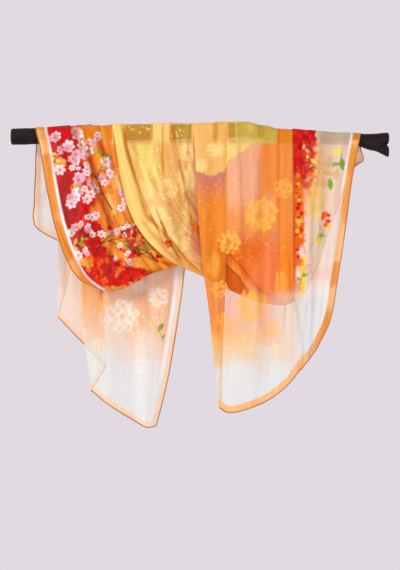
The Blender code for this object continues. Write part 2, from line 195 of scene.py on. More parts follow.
RIGHT_END = (
    Fold("turned edge", 52, 1.0, 0, 0, (52, -17, -39), (52, -18, -139),
         (51, -18, -259), (48, -18, -359), (43, -18, -469), (43, -18, -529)),
    Fold("left fold", -14, 2.1, 1, 0, (-10, -20, -39), (-5, -20, -139),
         (4, -20, -259), (18, -20, -363), (29, -20, -475), (38, -20, -555)),
    Fold("bend over the turning", 60, 3.2, 0, 0, (60, -21, -39), (60, -23, -139),
         (59, -23, -259), (58, -23, -379), (56, -22, -489), (56, -22, -564)),
    Fold("soft ridge", 100, 1.4, 0, 0, (102, -18, -39), (104, -22, -139),
         (106, -25, -259), (100, -25, -379), (92, -24, -479), (86, -22, -560)),
    Fold("soft valley", 140, 1.6, 0, 0, (144, -17, -39), (146, -18, -139),
         (150, -18, -259), (148, -18, -389), (142, -19, -479), (132, -20, -542)),
    Fold("bend by the pleat", 172, 1.6, 0, 0, (174, -18, -39), (176, -19, -139),
         (178, -20, -259), (180, -20, -369), (180, -20, -449), (174, -20, -511)),
    Fold("pleat under", 206, 2.3, 1, 0, (206, -20, -39), (206, -21, -139),
         (209, -21, -259), (208, -21, -359), (208, -21, -421), (207, -21, -471)),
    Fold("pleat edge", 186, 4.5, 1, 0, (187, -24, -39), (187, -25, -139),
         (188, -25, -259), (191, -25, -359), (197, -25, -429), (200, -25, -479)),
    Fold("pleat shoulder", 214, 4.6, 0, 0, (216, -25, -39), (216, -26, -129),
         (216, -26, -246), (217, -25, -342), (216, -24, -407), (213, -24, -464)),
    Fold("leaf bend", 264, 1.0, 0, 0, (262, -17, -39), (256, -19, -121),
         (248, -20, -229), (240, -19, -325), (232, -19, -394), (223, -19, -452)),
    Fold("long hem", 322, 1.0, 0, 0, (316, -17, -33), (303, -19, -107),
         (292, -20, -189), (276, -20, -295), (261, -19, -378), (235, -18, -435)),
)


# ---------------------------------------------------------------- creases

# Soft folds: from x0, z0 to x1, z1, with how far they bow to their right on the way, and their
# width. Depth over 0 stands out from the cloth; the right side falls off in the width times lean.
# shade: how much darker the colour is painted along it, as painted shade that also stands for the gauze
# lying double in the crease; under 0, lighter, as a painted highlight.
Crease = namedtuple("Crease", "x0 z0 x1 z1 bow width depth lean shade")

CREASES = {
    "left_end": (
        (-150, -40, -124, -570, 10, 10, 2.4, 0.5, -0.1), (-122, -20, -112, -420, -6, 5, -2.0, 1, 0.35),
        (-76, -30, -92, -560, 8, 10, 2.0, 0.5, -0.1), (-202, -240, -198, -340, 3, 4, -1.8, 1, 0.5),
        (-44, -60, -66, -420, 6, 8, -1.5, 1, 0.15), (-180, -300, -170, -520, 4, 9, -1.6, 1, 0.12),
        (-270, -30, -268, -340, 4, 8, 1.4, 0.6, 0.1), (-322, -30, -324, -180, 0, 7, 1.2, 0.6, 0.1),
    ),
    "front_lobe": (
        (-236, 14, -214, -110, -6, 3, -1.6, 0.6, 0.75), (-214, -110, -168, -236, -8, 4, -1.4, 1, 0.6),
        (-124, -196, -42, -268, 4, 3.4, -1.6, 1, 0.7), (-150, -228, -44, -271, 6, 3.0, -1.4, 1, 0.6),
        (-96, -196, -38, -262, 2, 2.6, -1.2, 1, 0.7), (-176, -262, -60, -280, 10, 3.4, -1.4, 1, 0.5),
        (-300, -10, -222, -292, -26, 9, 2.2, 0.5, -0.2), (-262, 6, -182, -306, -34, 6, -2.4, 1, 0.6),
        (-238, 6, -150, -296, -32, 8, 2.2, 0.5, -0.25), (-226, 6, -128, -286, -32, 5, -1.8, 1, 0.5),
        (-200, 6, -90, -254, -28, 8, 1.8, 0.5, -0.2), (-178, -10, -60, -252, -26, 6, -1.6, 1, 0.45),
        (-250, -190, -150, -306, -14, 6, -1.8, 1, 0.4), (-210, -200, -100, -282, -12, 6, 1.8, 0.5, -0.2),
    ),
    "front_sweep": (
        (-88, -150, -40, -256, 4, 3.2, -1.8, 0.5, 0.7), (-78, -182, -66, -212, -2, 2.6, -1.6, 1, 0.75),
        (-62, -210, 2, -284, 4, 3.6, -1.6, 0.6, 0.6), (-120, -176, -28, -278, 2, 4, -1.4, 1, 0.34),
        (-170, 8, -72, -248, -24, 9, 2.4, 0.6, -0.16), (-156, 12, -99, -186, 4, 4.5, -2.4, 0.9, 0.62),
        (-104, -172, -34, -268, -6, 4, -2.0, 0.9, 0.5), (-128, -10, -48, -258, -16, 14, 2.0, 0.6, -0.1),
        (-98, -90, -34, -262, -14, 7, -1.8, 1, 0.3), (-75, 14, -73, -96, 0, 2.6, -1.0, 1, 0.5),
        (-60, 14, -34, -200, -6, 7, -1.4, 1, 0.2), (-46, -80, 0, -262, -12, 10, 1.6, 0.6, -0.1),
        (-24, -120, 4, -262, -6, 11, -2.2, 1, 0.4), (-30, 8, -14, -110, -2, 9, 1.2, 0.6, -0.1),
        (-104, -190, 4, -284, -14, 10, 1.6, 0.6, -0.16), (-100, -168, -70, -232, -2, 3.2, -1.2, 0.5, 0.6),
        (-96, 14, -96, -24, 0, 1.8, 0, 1, 0.4), (-58, 14, -8, -238, -4, 2.4, -0.8, 1, 0.3),
        (-44, -60, -30, -150, -4, 2.4, 0, 1, 0.3),
    ),
    "back_swag": (
        (60, -60, 150, -330, -14, 9, 2.2, 0.5, -0.1), (120, -30, 130, -300, -8, 8, -2.4, 1, 0.3),
        (160, -30, 168, -310, 6, 9, 2.0, 0.5, -0.1), (230, -40, 190, -300, 6, 8, -1.8, 1, 0.2),
        (286, -40, 250, -220, 4, 8, 1.6, 0.5, 0.1), (30, -80, 60, -300, -6, 7, -1.6, 1, 0.3),
    ),
    "right_end": (
        (52, 10, 51, -90, 0, 1.8, 0, 1, 0.3), (26, 8, 34, -520, 4, 9, -1.8, 1, 0.1),
        (76, -30, 72, -540, -6, 10, 2.4, 0.5, -0.1), (130, -20, 128, -460, 6, 9, -2.4, 1, 0.12),
        (158, 10, 160, -330, 2, 1.8, 0, 1, 0.25), (187, 14, 189, -310, 0, 1.8, 0, 1, 0.6),
        (171, -346, 168, -424, 0, 2.4, -1.4, 1, 0.5), (192, -340, 208, -440, 0, 5, -1.8, 1, 0.25),
        (240, -20, 206, -430, 6, 9, 2.2, 0.5, -0.1), (256, -120, 226, -400, 4, 7, -1.8, 1, 0.12),
        (284, -30, 250, -330, 8, 9, 1.6, 0.5, -0.1),
    ),
}

# Folds of no set place: their spacing and depth, and how strongly they are painted into the colour:
# painted shade along their lines, a painted highlight where they stand out
Gather = namedtuple("Gather", "spacing depth shade seed")

GATHERS = {
    "left_end": Gather(26, 0.7, 0.1, 201),
    "front_lobe": Gather(17, 1.0, 0.42, 202),
    "front_sweep": Gather(16, 0.8, 0.2, 203),
    "back_swag": Gather(24, 1.0, 0.3, 204),
    "right_end": Gather(30, 0.9, 0.15, 205),
}


# ---------------------------------------------------------------- the cloth's form


def smooth_through(points, place):
    """The point at place, 0 to the last index, on a soft curve through the points."""
    last = len(points) - 1
    first = min(int(place), last - 1)
    part = place - first
    here, there = points[first], points[first + 1]
    before = points[first - 1] if first else here * 2 - there
    after = points[first + 2] if first + 2 <= last else there * 2 - here
    slope_here = (there - before) / 2
    slope_there = (after - here) / 2
    square, cube = part**2, part**3
    return (
        here * (2 * cube - 3 * square + 1)
        + slope_here * (cube - 2 * square + part)
        + there * (3 * square - 2 * cube)
        + slope_there * (cube - square)
    )


def branch_at(x):
    """The heights of the branch's axis and its radii at the places x."""
    table = np.array(STEM)
    index = np.clip(np.searchsorted(table[:, 0], x) - 1, 0, len(table) - 2)
    here, there = table[index], table[index + 1]
    part = (x - here[:, 0]) / (there[:, 0] - here[:, 0])
    soft = (part * part * (3 - 2 * part))[:, None]
    both = here + (there - here) * soft
    return both[:, 1], both[:, 2]


def numbers_of(fold):
    """A fold line as one row of numbers: its crest, its lift and its six places."""
    places = (fold.neck, fold.upper, fold.middle, fold.lower, fold.hem, fold.foot)
    lift = LEAST_LIFT + (fold.lift - 1) * LIFT_SHARE
    return np.array([fold.crest, lift, *(value for place in places for value in place)])


def shifted(numbers, side, aside, outward):
    """A line beside a fold line, by shares of half the depth of a pleat."""
    line = numbers.copy()
    line[CREST] += aside * WRAP_PLEAT / 2
    line[LIFT] += outward * WRAP_PLEAT / 2
    places = line[PLACES:].reshape(-1, 3)
    above = np.array([numbers[CREST], 0.0, 0.0])
    route = np.vstack([above, numbers[PLACES:].reshape(-1, 3), numbers[-3:]])
    for index, place in enumerate(places):
        along = route[index + 2] - route[index]
        beside = np.array([-along[2], 0.0, along[0]])
        beside /= np.linalg.norm(beside)
        place += beside * (aside * HANG_PLEAT / 2)
        place[1] += side * outward * HANG_PLEAT / 2
    return line


def run_lines(ends, grain):
    """The lines of a run of cloth through its edges and bends, without the last one."""
    lines = []
    for index in range(len(ends) - 1):
        apart = np.abs(ends[index + 1] - ends[index])
        apart[LIFT] = 0
        count = max(2, math.ceil(apart.max() / grain))
        lines += [smooth_through(ends, index + step / count) for step in range(count)]
    return lines


def turn_lines(fold, side, heading):
    """The lines round a folded edge, from the run that arrives to the run that leaves."""
    lines = []
    for step in range(TURN_STEPS + 1):
        angle = math.pi * (step / TURN_STEPS - 0.5)
        aside = heading * (math.cos(angle) - 1)
        lines.append(shifted(numbers_of(fold), side, aside, fold.turn * math.sin(angle)))
    return lines


def cloth_lines(folds, side, grain):
    """All lines of a stretch of cloth: soft runs joined by folded edges."""
    lines = []
    ends = [numbers_of(folds[0])]
    for last, fold in zip(folds, folds[1:]):
        if fold.turn:
            turned = turn_lines(fold, side, math.copysign(1, fold.crest - last.crest))
            lines += run_lines(ends + [turned[0]], grain)
            lines += turned[:-1]
            ends = [turned[-1]]
        else:
            ends.append(numbers_of(fold))
    return np.array(lines + run_lines(ends, grain) + [ends[-1]])


def cloth_points(lines, side, grain):
    """A grid of points, one row for each height and one column for each line."""
    crest, lift = lines[:, CREST], lines[:, LIFT]
    height, radius = branch_at(crest)
    reach = radius + lift
    wrap = math.ceil(reach.max() * math.pi / 2 / grain)
    lean = (lines[:, PLACES] - crest) * WRAP_LEAN
    rows = []
    for step in range(wrap):
        angle = START_ANGLE[side] * (1 - step / wrap)
        out = side * reach * math.cos(angle)
        across = crest + lean * (step / wrap) ** 2
        rows.append(np.stack([across, out, height + reach * math.sin(angle)], axis=1))
    places = [np.stack([crest + lean, side * reach, height], axis=1)]
    places += [lines[:, PLACES + 3 * k:PLACES + 3 * k + 3] for k in range(HEIGHTS)]
    spans = [np.abs(b[:, 2] - a[:, 2]).max() for a, b in zip(places, places[1:])]
    for index, span in enumerate(spans):
        count = max(2, math.ceil(span / grain))
        rows += [smooth_through(places, index + step / count) for step in range(count)]
    rows.append(places[-1])
    return np.array(rows)


def lip_heights(folds, lines):
    """The height of the turned-up lip at each line, between those of the folds."""
    return np.interp(lines[:, CREST], [fold.crest for fold in folds], [fold.lip for fold in folds])


def with_lip(points, heights, grain, towards):
    """The grid with its foot turned round and up on the side FRONT or BACK."""
    foot = points[-1]
    down = foot - points[-2]
    down /= np.linalg.norm(down, axis=1)[:, None]
    back = np.array([0.0, towards, 0.0])
    centre = foot + back * LIP_RADIUS
    rows = list(points)
    for step in range(1, TURN_STEPS + 1):
        angle = math.pi * step / TURN_STEPS
        rows.append(centre + (down * math.sin(angle) - back * math.cos(angle)) * LIP_RADIUS)
    turned = rows[-1]
    count = math.ceil(heights.max() / grain)
    for step in range(1, count + 1):
        rows.append(turned - down * (heights * step / count)[:, None])
    return np.array(rows)


def soft_step(low, high, value):
    """0 up to low and 1 from high, with a soft rise between, or falling if high < low."""
    part = np.clip((value - low) / (high - low), 0.0, 1.0)
    return part * part * (3 - 2 * part)


def between(start, full, fading, end, value):
    """0 up to start, 1 from full to fading and 0 from end, with a soft rise and fall."""
    return soft_step(start, full, value) * soft_step(end, fading, value)


def mottle(x, z, size, seed, count=9):
    """Soft unevenness between about -1 and 1, with patches of about the given size."""
    dice = np.random.default_rng(seed)
    total = np.zeros_like(x)
    for _ in range(count):
        way = dice.uniform(0, FULL_TURN)
        rate = FULL_TURN / (size * dice.uniform(0.7, 1.9))
        total += np.sin((x * math.cos(way) + z * math.sin(way)) * rate + dice.uniform(0, 7))
    return total / math.sqrt(count)


def relief(x, z, creases):
    """How far the creases move each point outward, and the painted shade they lay on its colour, which is
    a painted highlight where it is under 0.
    """
    moved, shade = np.zeros_like(x), np.zeros_like(x)
    for crease in map(Crease._make, creases):
        along = np.array([crease.x1 - crease.x0, crease.z1 - crease.z0])
        length = np.linalg.norm(along)
        along = along / length
        part = ((x - crease.x0) * along[0] + (z - crease.z0) * along[1]) / length
        aside = (z - crease.z0) * along[0] - (x - crease.x0) * along[1]
        aside = aside + crease.bow * 4 * np.clip(part, 0, 1) * (1 - np.clip(part, 0, 1))
        width = crease.width * np.where(aside > 0, crease.lean, 1)
        ends = between(-0.06, 0.12, 0.8, 1.08, part)
        profile = ends * np.exp(-((aside / width) ** 2))
        moved += crease.depth * profile
        shade += crease.shade * profile
    return moved, shade


def gathers(shape, grain, gather):
    """Folds that follow the cloth's own lines: how far they stand out, and the painted shade along their
    lines and painted highlight where they stand out.
    """
    down, across = np.mgrid[0:shape[0], 0:shape[1]] * grain
    soft = mottle(across, down * 0.09, gather.spacing, gather.seed)
    line = mottle(across, down * 0.07, gather.spacing * 1.8, gather.seed + 1)
    line = np.exp(-((line / 0.13) ** 2))
    moved = gather.depth * (soft - 0.5 * line)
    return moved, gather.shade * (0.55 * line - 0.5 * soft)


def edge_distance(points, edge):
    """The way over the cloth from each point to an edge, straightened where the hem runs
    slantwise: edge is "first" or "last" for a side, or "foot"."""
    if edge == "foot":
        return edge_distance(points.transpose(1, 0, 2), "last").T
    if edge == "first":
        return edge_distance(points[:, ::-1], "last")[:, ::-1]
    steps = np.linalg.norm(np.diff(points, axis=1), axis=2)
    way = np.zeros(points.shape[:2])
    way[:, :-1] = np.cumsum(steps[:, ::-1], axis=1)[:, ::-1]
    inward = points[:, -3] - points[:, -1]
    inward /= np.linalg.norm(inward, axis=1)[:, None] + 1e-9
    hem = np.gradient(points[:, -1], axis=0)
    hem /= np.linalg.norm(hem, axis=1)[:, None] + 1e-9
    slant = np.linalg.norm(np.cross(inward, hem), axis=1)
    return way * np.clip(slant, 0.3, 1.0)[:, None]


# ---------------------------------------------------------------- the dye

# Red, green and blue, 0 to 255, and the cover, 0 sheer to 1 dense
PAINTS = {
    "border": (224, 140, 44, 0.95), "border peach": (246, 180, 104, 0.88),
    "border pale": (250, 214, 168, 0.66), "hem line": (196, 102, 34, 0.95),
    "white stripe": (250, 240, 246, 0.8), "peach": (244, 180, 116, 0.79),
    "pink peach": (246, 174, 134, 0.7), "pale peach": (246, 208, 172, 0.58),
    "honey": (244, 200, 134, 0.68), "cream": (238, 208, 176, 0.62),
    "sheer white": (232, 234, 224, 0.5), "milk": (250, 240, 226, 0.7), "yellow": (246, 208, 108, 0.8),
    "bright yellow": (241, 203, 112, 0.96), "yellow green": (240, 216, 108, 0.86),
    "olive": (238, 178, 66, 0.54), "green olive": (226, 194, 82, 0.68), "gold": (240, 181, 102, 0.9),
    "pale gold": (247, 206, 124, 0.92), "deep gold": (226, 150, 56, 0.9),
    "lace yellow": (255, 228, 150, 0.95), "lace orange": (255, 186, 76, 0.9),
    "lace cream": (255, 236, 204, 0.66), "amber": (250, 154, 44, 0.7), "orange": (242, 142, 34, 0.74),
    "deep orange": (234, 106, 8, 0.86), "thin amber": (246, 128, 26, 0.34),
    "thin peach": (250, 158, 94, 0.42), "dense flame": (255, 116, 22, 0.98),
    "burnt orange": (198, 62, 0, 0.98), "fold line": (120, 26, 0, 0.98),
    "band orange": (255, 166, 84, 0.98), "dense orange": (229, 127, 34, 0.95),
    "thin cream": (240, 214, 180, 0.52), "thin border": (236, 152, 50, 0.62),
    "tan pink": (246, 172, 120, 0.7), "mauve": (218, 130, 106, 0.7), "red": (198, 14, 16, 0.96),
    "bright red": (218, 36, 22, 0.96), "dark red": (158, 12, 18, 0.96), "flame": (232, 94, 20, 0.95),
    "brown gold": (232, 150, 50, 0.95), "dark olive": (138, 92, 26, 0.95),
    "blossom": (246, 214, 210, 0.97), "blossom pink": (232, 140, 140, 0.97),
    "blossom shade": (212, 160, 168, 0.97), "blossom heart": (196, 74, 64, 0.97),
    "twig": (70, 30, 24, 0.95), "leaf": (126, 150, 38, 0.95), "yellow leaf": (236, 206, 60, 0.9),
}


def linear(value):
    """A screen value, 0 to 255, as the light that it stands for."""
    share = np.asarray(value, dtype=float) / 255
    return np.where(share <= 0.04045, share / 12.92, ((share + 0.055) / 1.055) ** 2.4)


# How strongly the creases' painted shade darkens the red, green and blue of a pale dye and of a strong
# one
PALE_SHADE = np.array([0.7, 0.76, 0.8])
WARM_SHADE = np.array([0.34, 1.0, 2.2])


def scattered(dice, x, z, wide, tall, count):
    """Random places in an oval."""
    for _ in range(count):
        way, far = dice.uniform(0, FULL_TURN), math.sqrt(dice.random())
        yield x + wide * far * math.cos(way), z + tall * far * math.sin(way)


def wandering(dice, start, way, length, bend):
    """A route of three steps that strays from its way; returns its points and its last way."""
    route = [np.array(start, dtype=float)]
    for _ in range(3):
        way += dice.uniform(-bend, bend)
        route.append(route[-1] + np.array([math.cos(way), math.sin(way)]) * length / 3)
    return route, way


class Dye:
    """The print on one stretch: a colour and a cover for each point of its cloth, laid on
    in washes and motifs, and darkened by shade() with the creases' painted shade. The first wash covers
    all of it."""

    def __init__(self, x, z, ways, ground):
        self.x, self.z, self.ways = x, z, ways
        *colour, cover = PAINTS[ground]
        self.colour = np.tile(linear(colour), (x.size, 1))
        self.cover = np.full(x.size, cover)

    def lay(self, name, at, mask):
        """Paint on the points at, as strong as the mask."""
        *colour, cover = PAINTS[name]
        mask = np.clip(mask, 0, 1)
        self.colour[at] += (linear(colour) - self.colour[at]) * mask[:, None]
        self.cover[at] += (cover - self.cover[at]) * mask

    def wash(self, name, mask):
        self.lay(name, slice(None), mask)

    def around(self, x, z, reach):
        """The points near a place, and how far each is to its right and above it."""
        right, up = self.x - x, self.z - z
        at = np.flatnonzero((np.abs(right) < reach) & (np.abs(up) < reach))
        return at, right[at], up[at]

    def patch(self, name, x, z, wide, tall, strength=1.0, seed=1, soft=0.45):
        """An uneven patch with a soft edge."""
        far = np.hypot((self.x - x) / wide, (self.z - z) / tall)
        far = far + 0.2 * mottle(self.x, self.z, min(wide, tall) * 0.8, seed)
        self.wash(name, strength * soft_step(1 + soft / 2, 1 - soft / 2, far))

    def shade(self, amount):
        """Darkens the colour as painted shade along creases and folds, which also stands for the
        gauze lying double there, and lightens it as a painted highlight where the amount is under 0:
        a strong dye turns warmer, a pale one only greyer."""
        amount = np.clip(amount, -0.4, 0.7)
        strong = 1 - self.colour.min(axis=1) / self.colour.max(axis=1)
        powers = PALE_SHADE + (WARM_SHADE - PALE_SHADE) * (strong**2)[:, None]
        self.colour *= (1 - amount)[:, None] ** powers
        self.cover += (1 - self.cover) * 0.5 * np.clip(amount, 0, 1)

    def blossom(self, x, z, size, turn, petal="blossom"):
        """A blossom of six round petals, turned partly away and shaded to its small heart."""
        at, right, up = self.around(x, z, size * 1.3)
        squeeze = 1 + 0.5 * math.sin(turn * 5) ** 2
        across = (right * math.cos(turn) + up * math.sin(turn)) * squeeze
        along = up * math.cos(turn) - right * math.sin(turn)
        far = np.hypot(across, along)
        petals = np.abs(np.cos(np.arctan2(along, across) * 3))
        edge = size * (0.5 + 0.5 * petals**0.55)
        inside = soft_step(edge + 0.8, edge - 0.8, far)
        for paint, mask in (
            (petal, inside),
            ("blossom pink", inside * 0.75 * soft_step(0.5, 0.05, petals)),
            ("blossom pink", inside * 0.7 * soft_step(size * 0.6, size * 0.2, far)),
            ("blossom shade", inside * 0.5 * soft_step(0, -size, up)),
            ("blossom heart", soft_step(size * 0.26, size * 0.1, far)),
        ):
            self.lay(paint, at, mask)

    def floret(self, name, x, z, size, turn):
        """A small four-petalled flower of one colour, with a deeper middle."""
        at, right, up = self.around(x, z, size * 1.3)
        far = np.hypot(right, up)
        edge = size * (0.66 + 0.34 * np.abs(np.cos((np.arctan2(up, right) - turn) * 2)))
        self.lay(name, at, soft_step(edge + 0.8, edge - 0.8, far))
        self.lay("dark red", at, 0.5 * soft_step(size * 0.35, size * 0.1, far))

    def mass(self, names, x, z, wide, tall, size, count, seed):
        """Many small florets crowded into a head."""
        dice = np.random.default_rng(seed)
        for here in scattered(dice, x, z, wide, tall, count):
            name = names[int(dice.integers(len(names)))]
            self.floret(name, *here, size * dice.uniform(0.7, 1.25), dice.uniform(0, 6))

    def cluster(self, x, z, wide, tall, count, size, seed):
        """Blossoms crowded together, the later ones over the earlier."""
        dice = np.random.default_rng(seed)
        for here in scattered(dice, x, z, wide, tall, count):
            petal = "blossom" if dice.random() < 0.6 else "blossom shade"
            self.blossom(*here, size * dice.uniform(0.75, 1.15), dice.uniform(0, 6), petal)

    def stroke(self, name, points, width, taper=0.6):
        """A line through points that thins towards its end."""
        count = 8 * (len(points) - 1)
        route = [smooth_through(points, step / 8) for step in range(count + 1)]
        for index, (here, there) in enumerate(zip(route, route[1:])):
            thick = width * (1 - taper * index / count)
            way = there - here
            at, right, up = self.around(*((here + there) / 2), thick + np.linalg.norm(way) + 2)
            right, up = right + way[0] / 2, up + way[1] / 2
            part = np.clip((right * way[0] + up * way[1]) / (way @ way), 0, 1)
            far = np.hypot(right - way[0] * part, up - way[1] * part)
            self.lay(name, at, soft_step(thick / 2 + 0.7, thick / 2 - 0.4, far))

    def leaf(self, x, z, length, turn, name="leaf"):
        at, right, up = self.around(x, z, length)
        along = right * math.cos(turn) + up * math.sin(turn)
        aside = up * math.cos(turn) - right * math.sin(turn)
        room = length * 0.24 * np.clip(1 - (2 * along / length) ** 2, 0, 1) ** 0.8
        self.lay(name, at, soft_step(0.8, -0.8, np.abs(aside) - room))

    def twig(self, dice, start, way, length, width, forks=2):
        """A dark twig that forks; returns its tips."""
        route, way = wandering(dice, start, way, length, 0.38)
        self.stroke("twig", route, width)
        tips = [route[-1]]
        for index in (1, 2, 2) if forks else ():
            turn = dice.choice((-1, 1)) * dice.uniform(0.35, 0.85)
            branch = length * dice.uniform(0.35, 0.6)
            tips += self.twig(dice, route[index], way + turn, branch, width * 0.65, forks - 1)
        return tips

    def spray(self, twigs, seed, size, share):
        """Dark forked twigs with blossoms and leaves at their tips."""
        dice = np.random.default_rng(seed)
        for *start, way, length in twigs:
            for tip in self.twig(dice, start, way, length, 2.2):
                chance = dice.random()
                if chance < share:
                    self.blossom(*tip, size * dice.uniform(0.65, 1.2), dice.uniform(0, 6))
                elif chance < share + 0.06:
                    self.leaf(*tip, size * 1.4, dice.uniform(0, 6))

    def rosette(self, name, x, z, size, strength=0.8, petals=19, hollow=0.15, seed=3):
        """A large shaggy round flower in rings of brushed petals, like worn lace."""
        at, right, up = self.around(x, z, size * 1.25)
        far = np.hypot(right, up) / size
        way = np.arctan2(up, right) + 0.3 * far
        ring = np.floor(far * 4.2)
        brushed = 0.5 + 0.5 * np.cos(way * petals + ring * math.pi)
        worn = mottle(self.x[at], self.z[at], size * 0.4, seed)
        edge = 1 + 0.1 * np.cos(way * petals * 2) + 0.12 * worn
        inside = soft_step(edge + 0.08, edge - 0.08, far)
        middle = soft_step(hollow - 0.05, hollow + 0.12, far)
        tone = 0.62 + 0.22 * brushed + 0.4 * worn
        self.lay(name, at, strength * inside * middle * tone)

    def sprig(self, x, z, way, length, leaves, size, seed):
        """A bent stalk with leaves along both its sides."""
        dice = np.random.default_rng(seed)
        route, way = wandering(dice, (x, z), way, length, 0.3)
        self.stroke("leaf", route, 1.1)
        for index in range(leaves):
            turn = way + (0.8 if index % 2 else -0.8) + dice.uniform(-0.4, 0.4)
            reach = size * dice.uniform(0.6, 1.25)
            aside = np.array((math.cos(turn), math.sin(turn))) * reach / 2
            place = smooth_through(route, 3 * (index + 0.7) / leaves) + aside
            self.leaf(*place, reach, turn, dice.choice(("leaf", "yellow leaf", "olive")))

    def dotted(self, name, points, spacing, size, strength=0.85):
        """A row of small dots along a line."""
        points = [np.array(point, dtype=float) for point in points]
        fine = [smooth_through(points, step / 20) for step in range(20 * (len(points) - 1) + 1)]
        gone = spacing
        dice = np.random.default_rng(int(abs(points[0]).sum()))
        for here, there in zip(fine, fine[1:]):
            gone += np.linalg.norm(there - here)
            if gone >= spacing:
                gone -= spacing
                place = there + dice.uniform(-0.8, 0.8, 2)
                near_size = size * dice.uniform(0.6, 1.1)
                self.dot(name, *place, near_size, strength * dice.uniform(0.5, 1))

    def dot(self, name, x, z, size, strength=0.85):
        at, right, up = self.around(x, z, size * 2)
        self.lay(name, at, strength * soft_step(size, size * 0.4, np.hypot(right, up * 0.7)))

    def sprinkle(self, name, x, z, wide, tall, count, size, seed, strength=0.85):
        """Small dots strewn over a patch."""
        dice = np.random.default_rng(seed)
        for _ in range(count):
            here = x + dice.uniform(-wide, wide), z + dice.uniform(-tall, tall)
            self.dot(name, *here, size * dice.uniform(0.7, 1.3), strength)

    def combed(self, name, x, z, wide, tall, strength, seed):
        """A patch of short upright strokes, like dry brushwork."""
        at, right, up = self.around(x, z, max(wide, tall) * 1.4)
        hairs = mottle(self.x[at], self.z[at] * 0.12, 4.5, seed)
        body = mottle(self.x[at], self.z[at], 24, seed + 1)
        far = np.hypot(right / wide, up / tall) + 0.16 * hairs + 0.12 * body
        self.lay(name, at, strength * soft_step(1.15, 0.75, far) * np.clip(0.75 + 0.4 * hairs, 0, 1))


def each(draw, *rows):
    """The same kind of motif at several places."""
    for row in rows:
        draw(*row)


def each_in(draw, paint, *rows):
    """The same kind of motif in one paint at several places."""
    for row in rows:
        draw(paint, *row)


# The lobe's red ground: heights from the foot up, with x at its border and at its right edge
RED_BORDER = ((-300, -250, -190, -110, -30, 20), (-214, -246, -266, -284, -298, -304))
RED_EDGE = ((-320, -280, -240, -190, -140, -40, 20), (-66, -140, -186, -204, -212, -230, -238))

# The right end's yellow field at the crest: x, with the height of its lower edge
TOP_FIELD = ((-14, 20, 50, 56, 90, 124, 156), (-76, -92, -80, -62, -38, -14, -10))


def strewn_blossoms(dye, groups, size, seed):
    """Small groups of blossoms strewn all over the red ground."""
    dice = np.random.default_rng(seed)
    for index in range(groups):
        z = 10 - 262 * (index + dice.uniform(0, 1)) / groups
        left, right = np.interp(z, *RED_BORDER), np.interp(z, *RED_EDGE)
        x = left + (right - left) * ((index * 0.618 + dice.uniform(0, 0.25)) % 1)
        count = int(dice.integers(1, 6))
        dye.cluster(x, z, 13, 13, count, size * (1 + z / 900), seed + index)


def crest_colours(dye, front=True):
    """The colours along the top of the branch, shared by the cloth before and behind it."""
    low = -24 if front else -12
    near = soft_step(low - 8, low + 6, dye.z)
    spans = (
        ("red", -308, -240), ("orange", -236, -180), ("bright yellow", -176, -154),
        ("olive", -150, -98), ("pale gold", -95, -62), ("olive", -59, -17),
        ("gold", -14, 25), ("olive", 26, 36), ("gold", 38, 54), ("olive", 56, 72),
        ("green olive", 74, 154), ("orange", 160, 184), ("red", 186, 232),
        ("thin cream", 238, 304),
    )
    ragged = dye.x + 1.8 * mottle(dye.x, dye.z, 9, 90) * soft_step(40, 60, dye.x)
    for name, start, end in spans:
        dye.wash(name, near * between(start - 2, start + 2, end - 2, end + 2, ragged))
    each(dye.patch, ("olive", 122, -2, 8, 13, 0.8, 94), ("yellow", 102, 8, 7, 9, 0.5, 95))
    each_in(dye.sprinkle, "lace yellow", (-124, 6, 22, 16, 14, 1.9, 91), (-40, 4, 16, 16, 9, 1.9, 92))
    dye.mass(("dark red", "red", "bright red"), 208, 0, 20, 16, 5, 26, 93)


def dye_left_end(x, z, ways):
    dye = Dye(x, z, ways, "peach")
    slant = z + (x + 120) * 0.42
    dye.wash("pale peach", soft_step(-372, -446, slant + 9 * mottle(x, z, 60, 3)))
    dye.wash("sheer white", soft_step(-430, -500, slant + 9 * mottle(x, z, 60, 4)))
    dye.wash("pale peach", soft_step(-236, -246, x) * 0.9)
    dye.wash("sheer white", soft_step(-262, -284, x) * 0.6)
    dye.wash("orange", 0.35 * soft_step(-160, -20, z) * soft_step(-280, -250, x))
    each_in(dye.patch, "orange", (-119, -342, 6, 56, 0.6, 6), (-200, -322, 5, 26, 0.35, 7))
    each_in(dye.rosette, "lace cream", (-158, -372, 31, 0.9, 21, 0.1, 101),
            (-84, -334, 20, 0.8, 17, 0.2, 102), (-118, -470, 17, 0.5, 17, 0.2, 103))
    each_in(dye.combed, "lace cream", (-206, -436, 18, 20, 0.45, 105), (-122, -312, 18, 14, 0.5, 107))
    dye.sprig(-74, -424, 1.75, 46, 5, 15, 5)
    dye.sprinkle("lace cream", -120, -400, 44, 40, 46, 1.8, 109, 0.8)
    dye.dotted("lace cream", ((-176, -424), (-150, -440), (-122, -432)), 6, 1.6, 0.7)
    crest_colours(dye, False)
    return dye


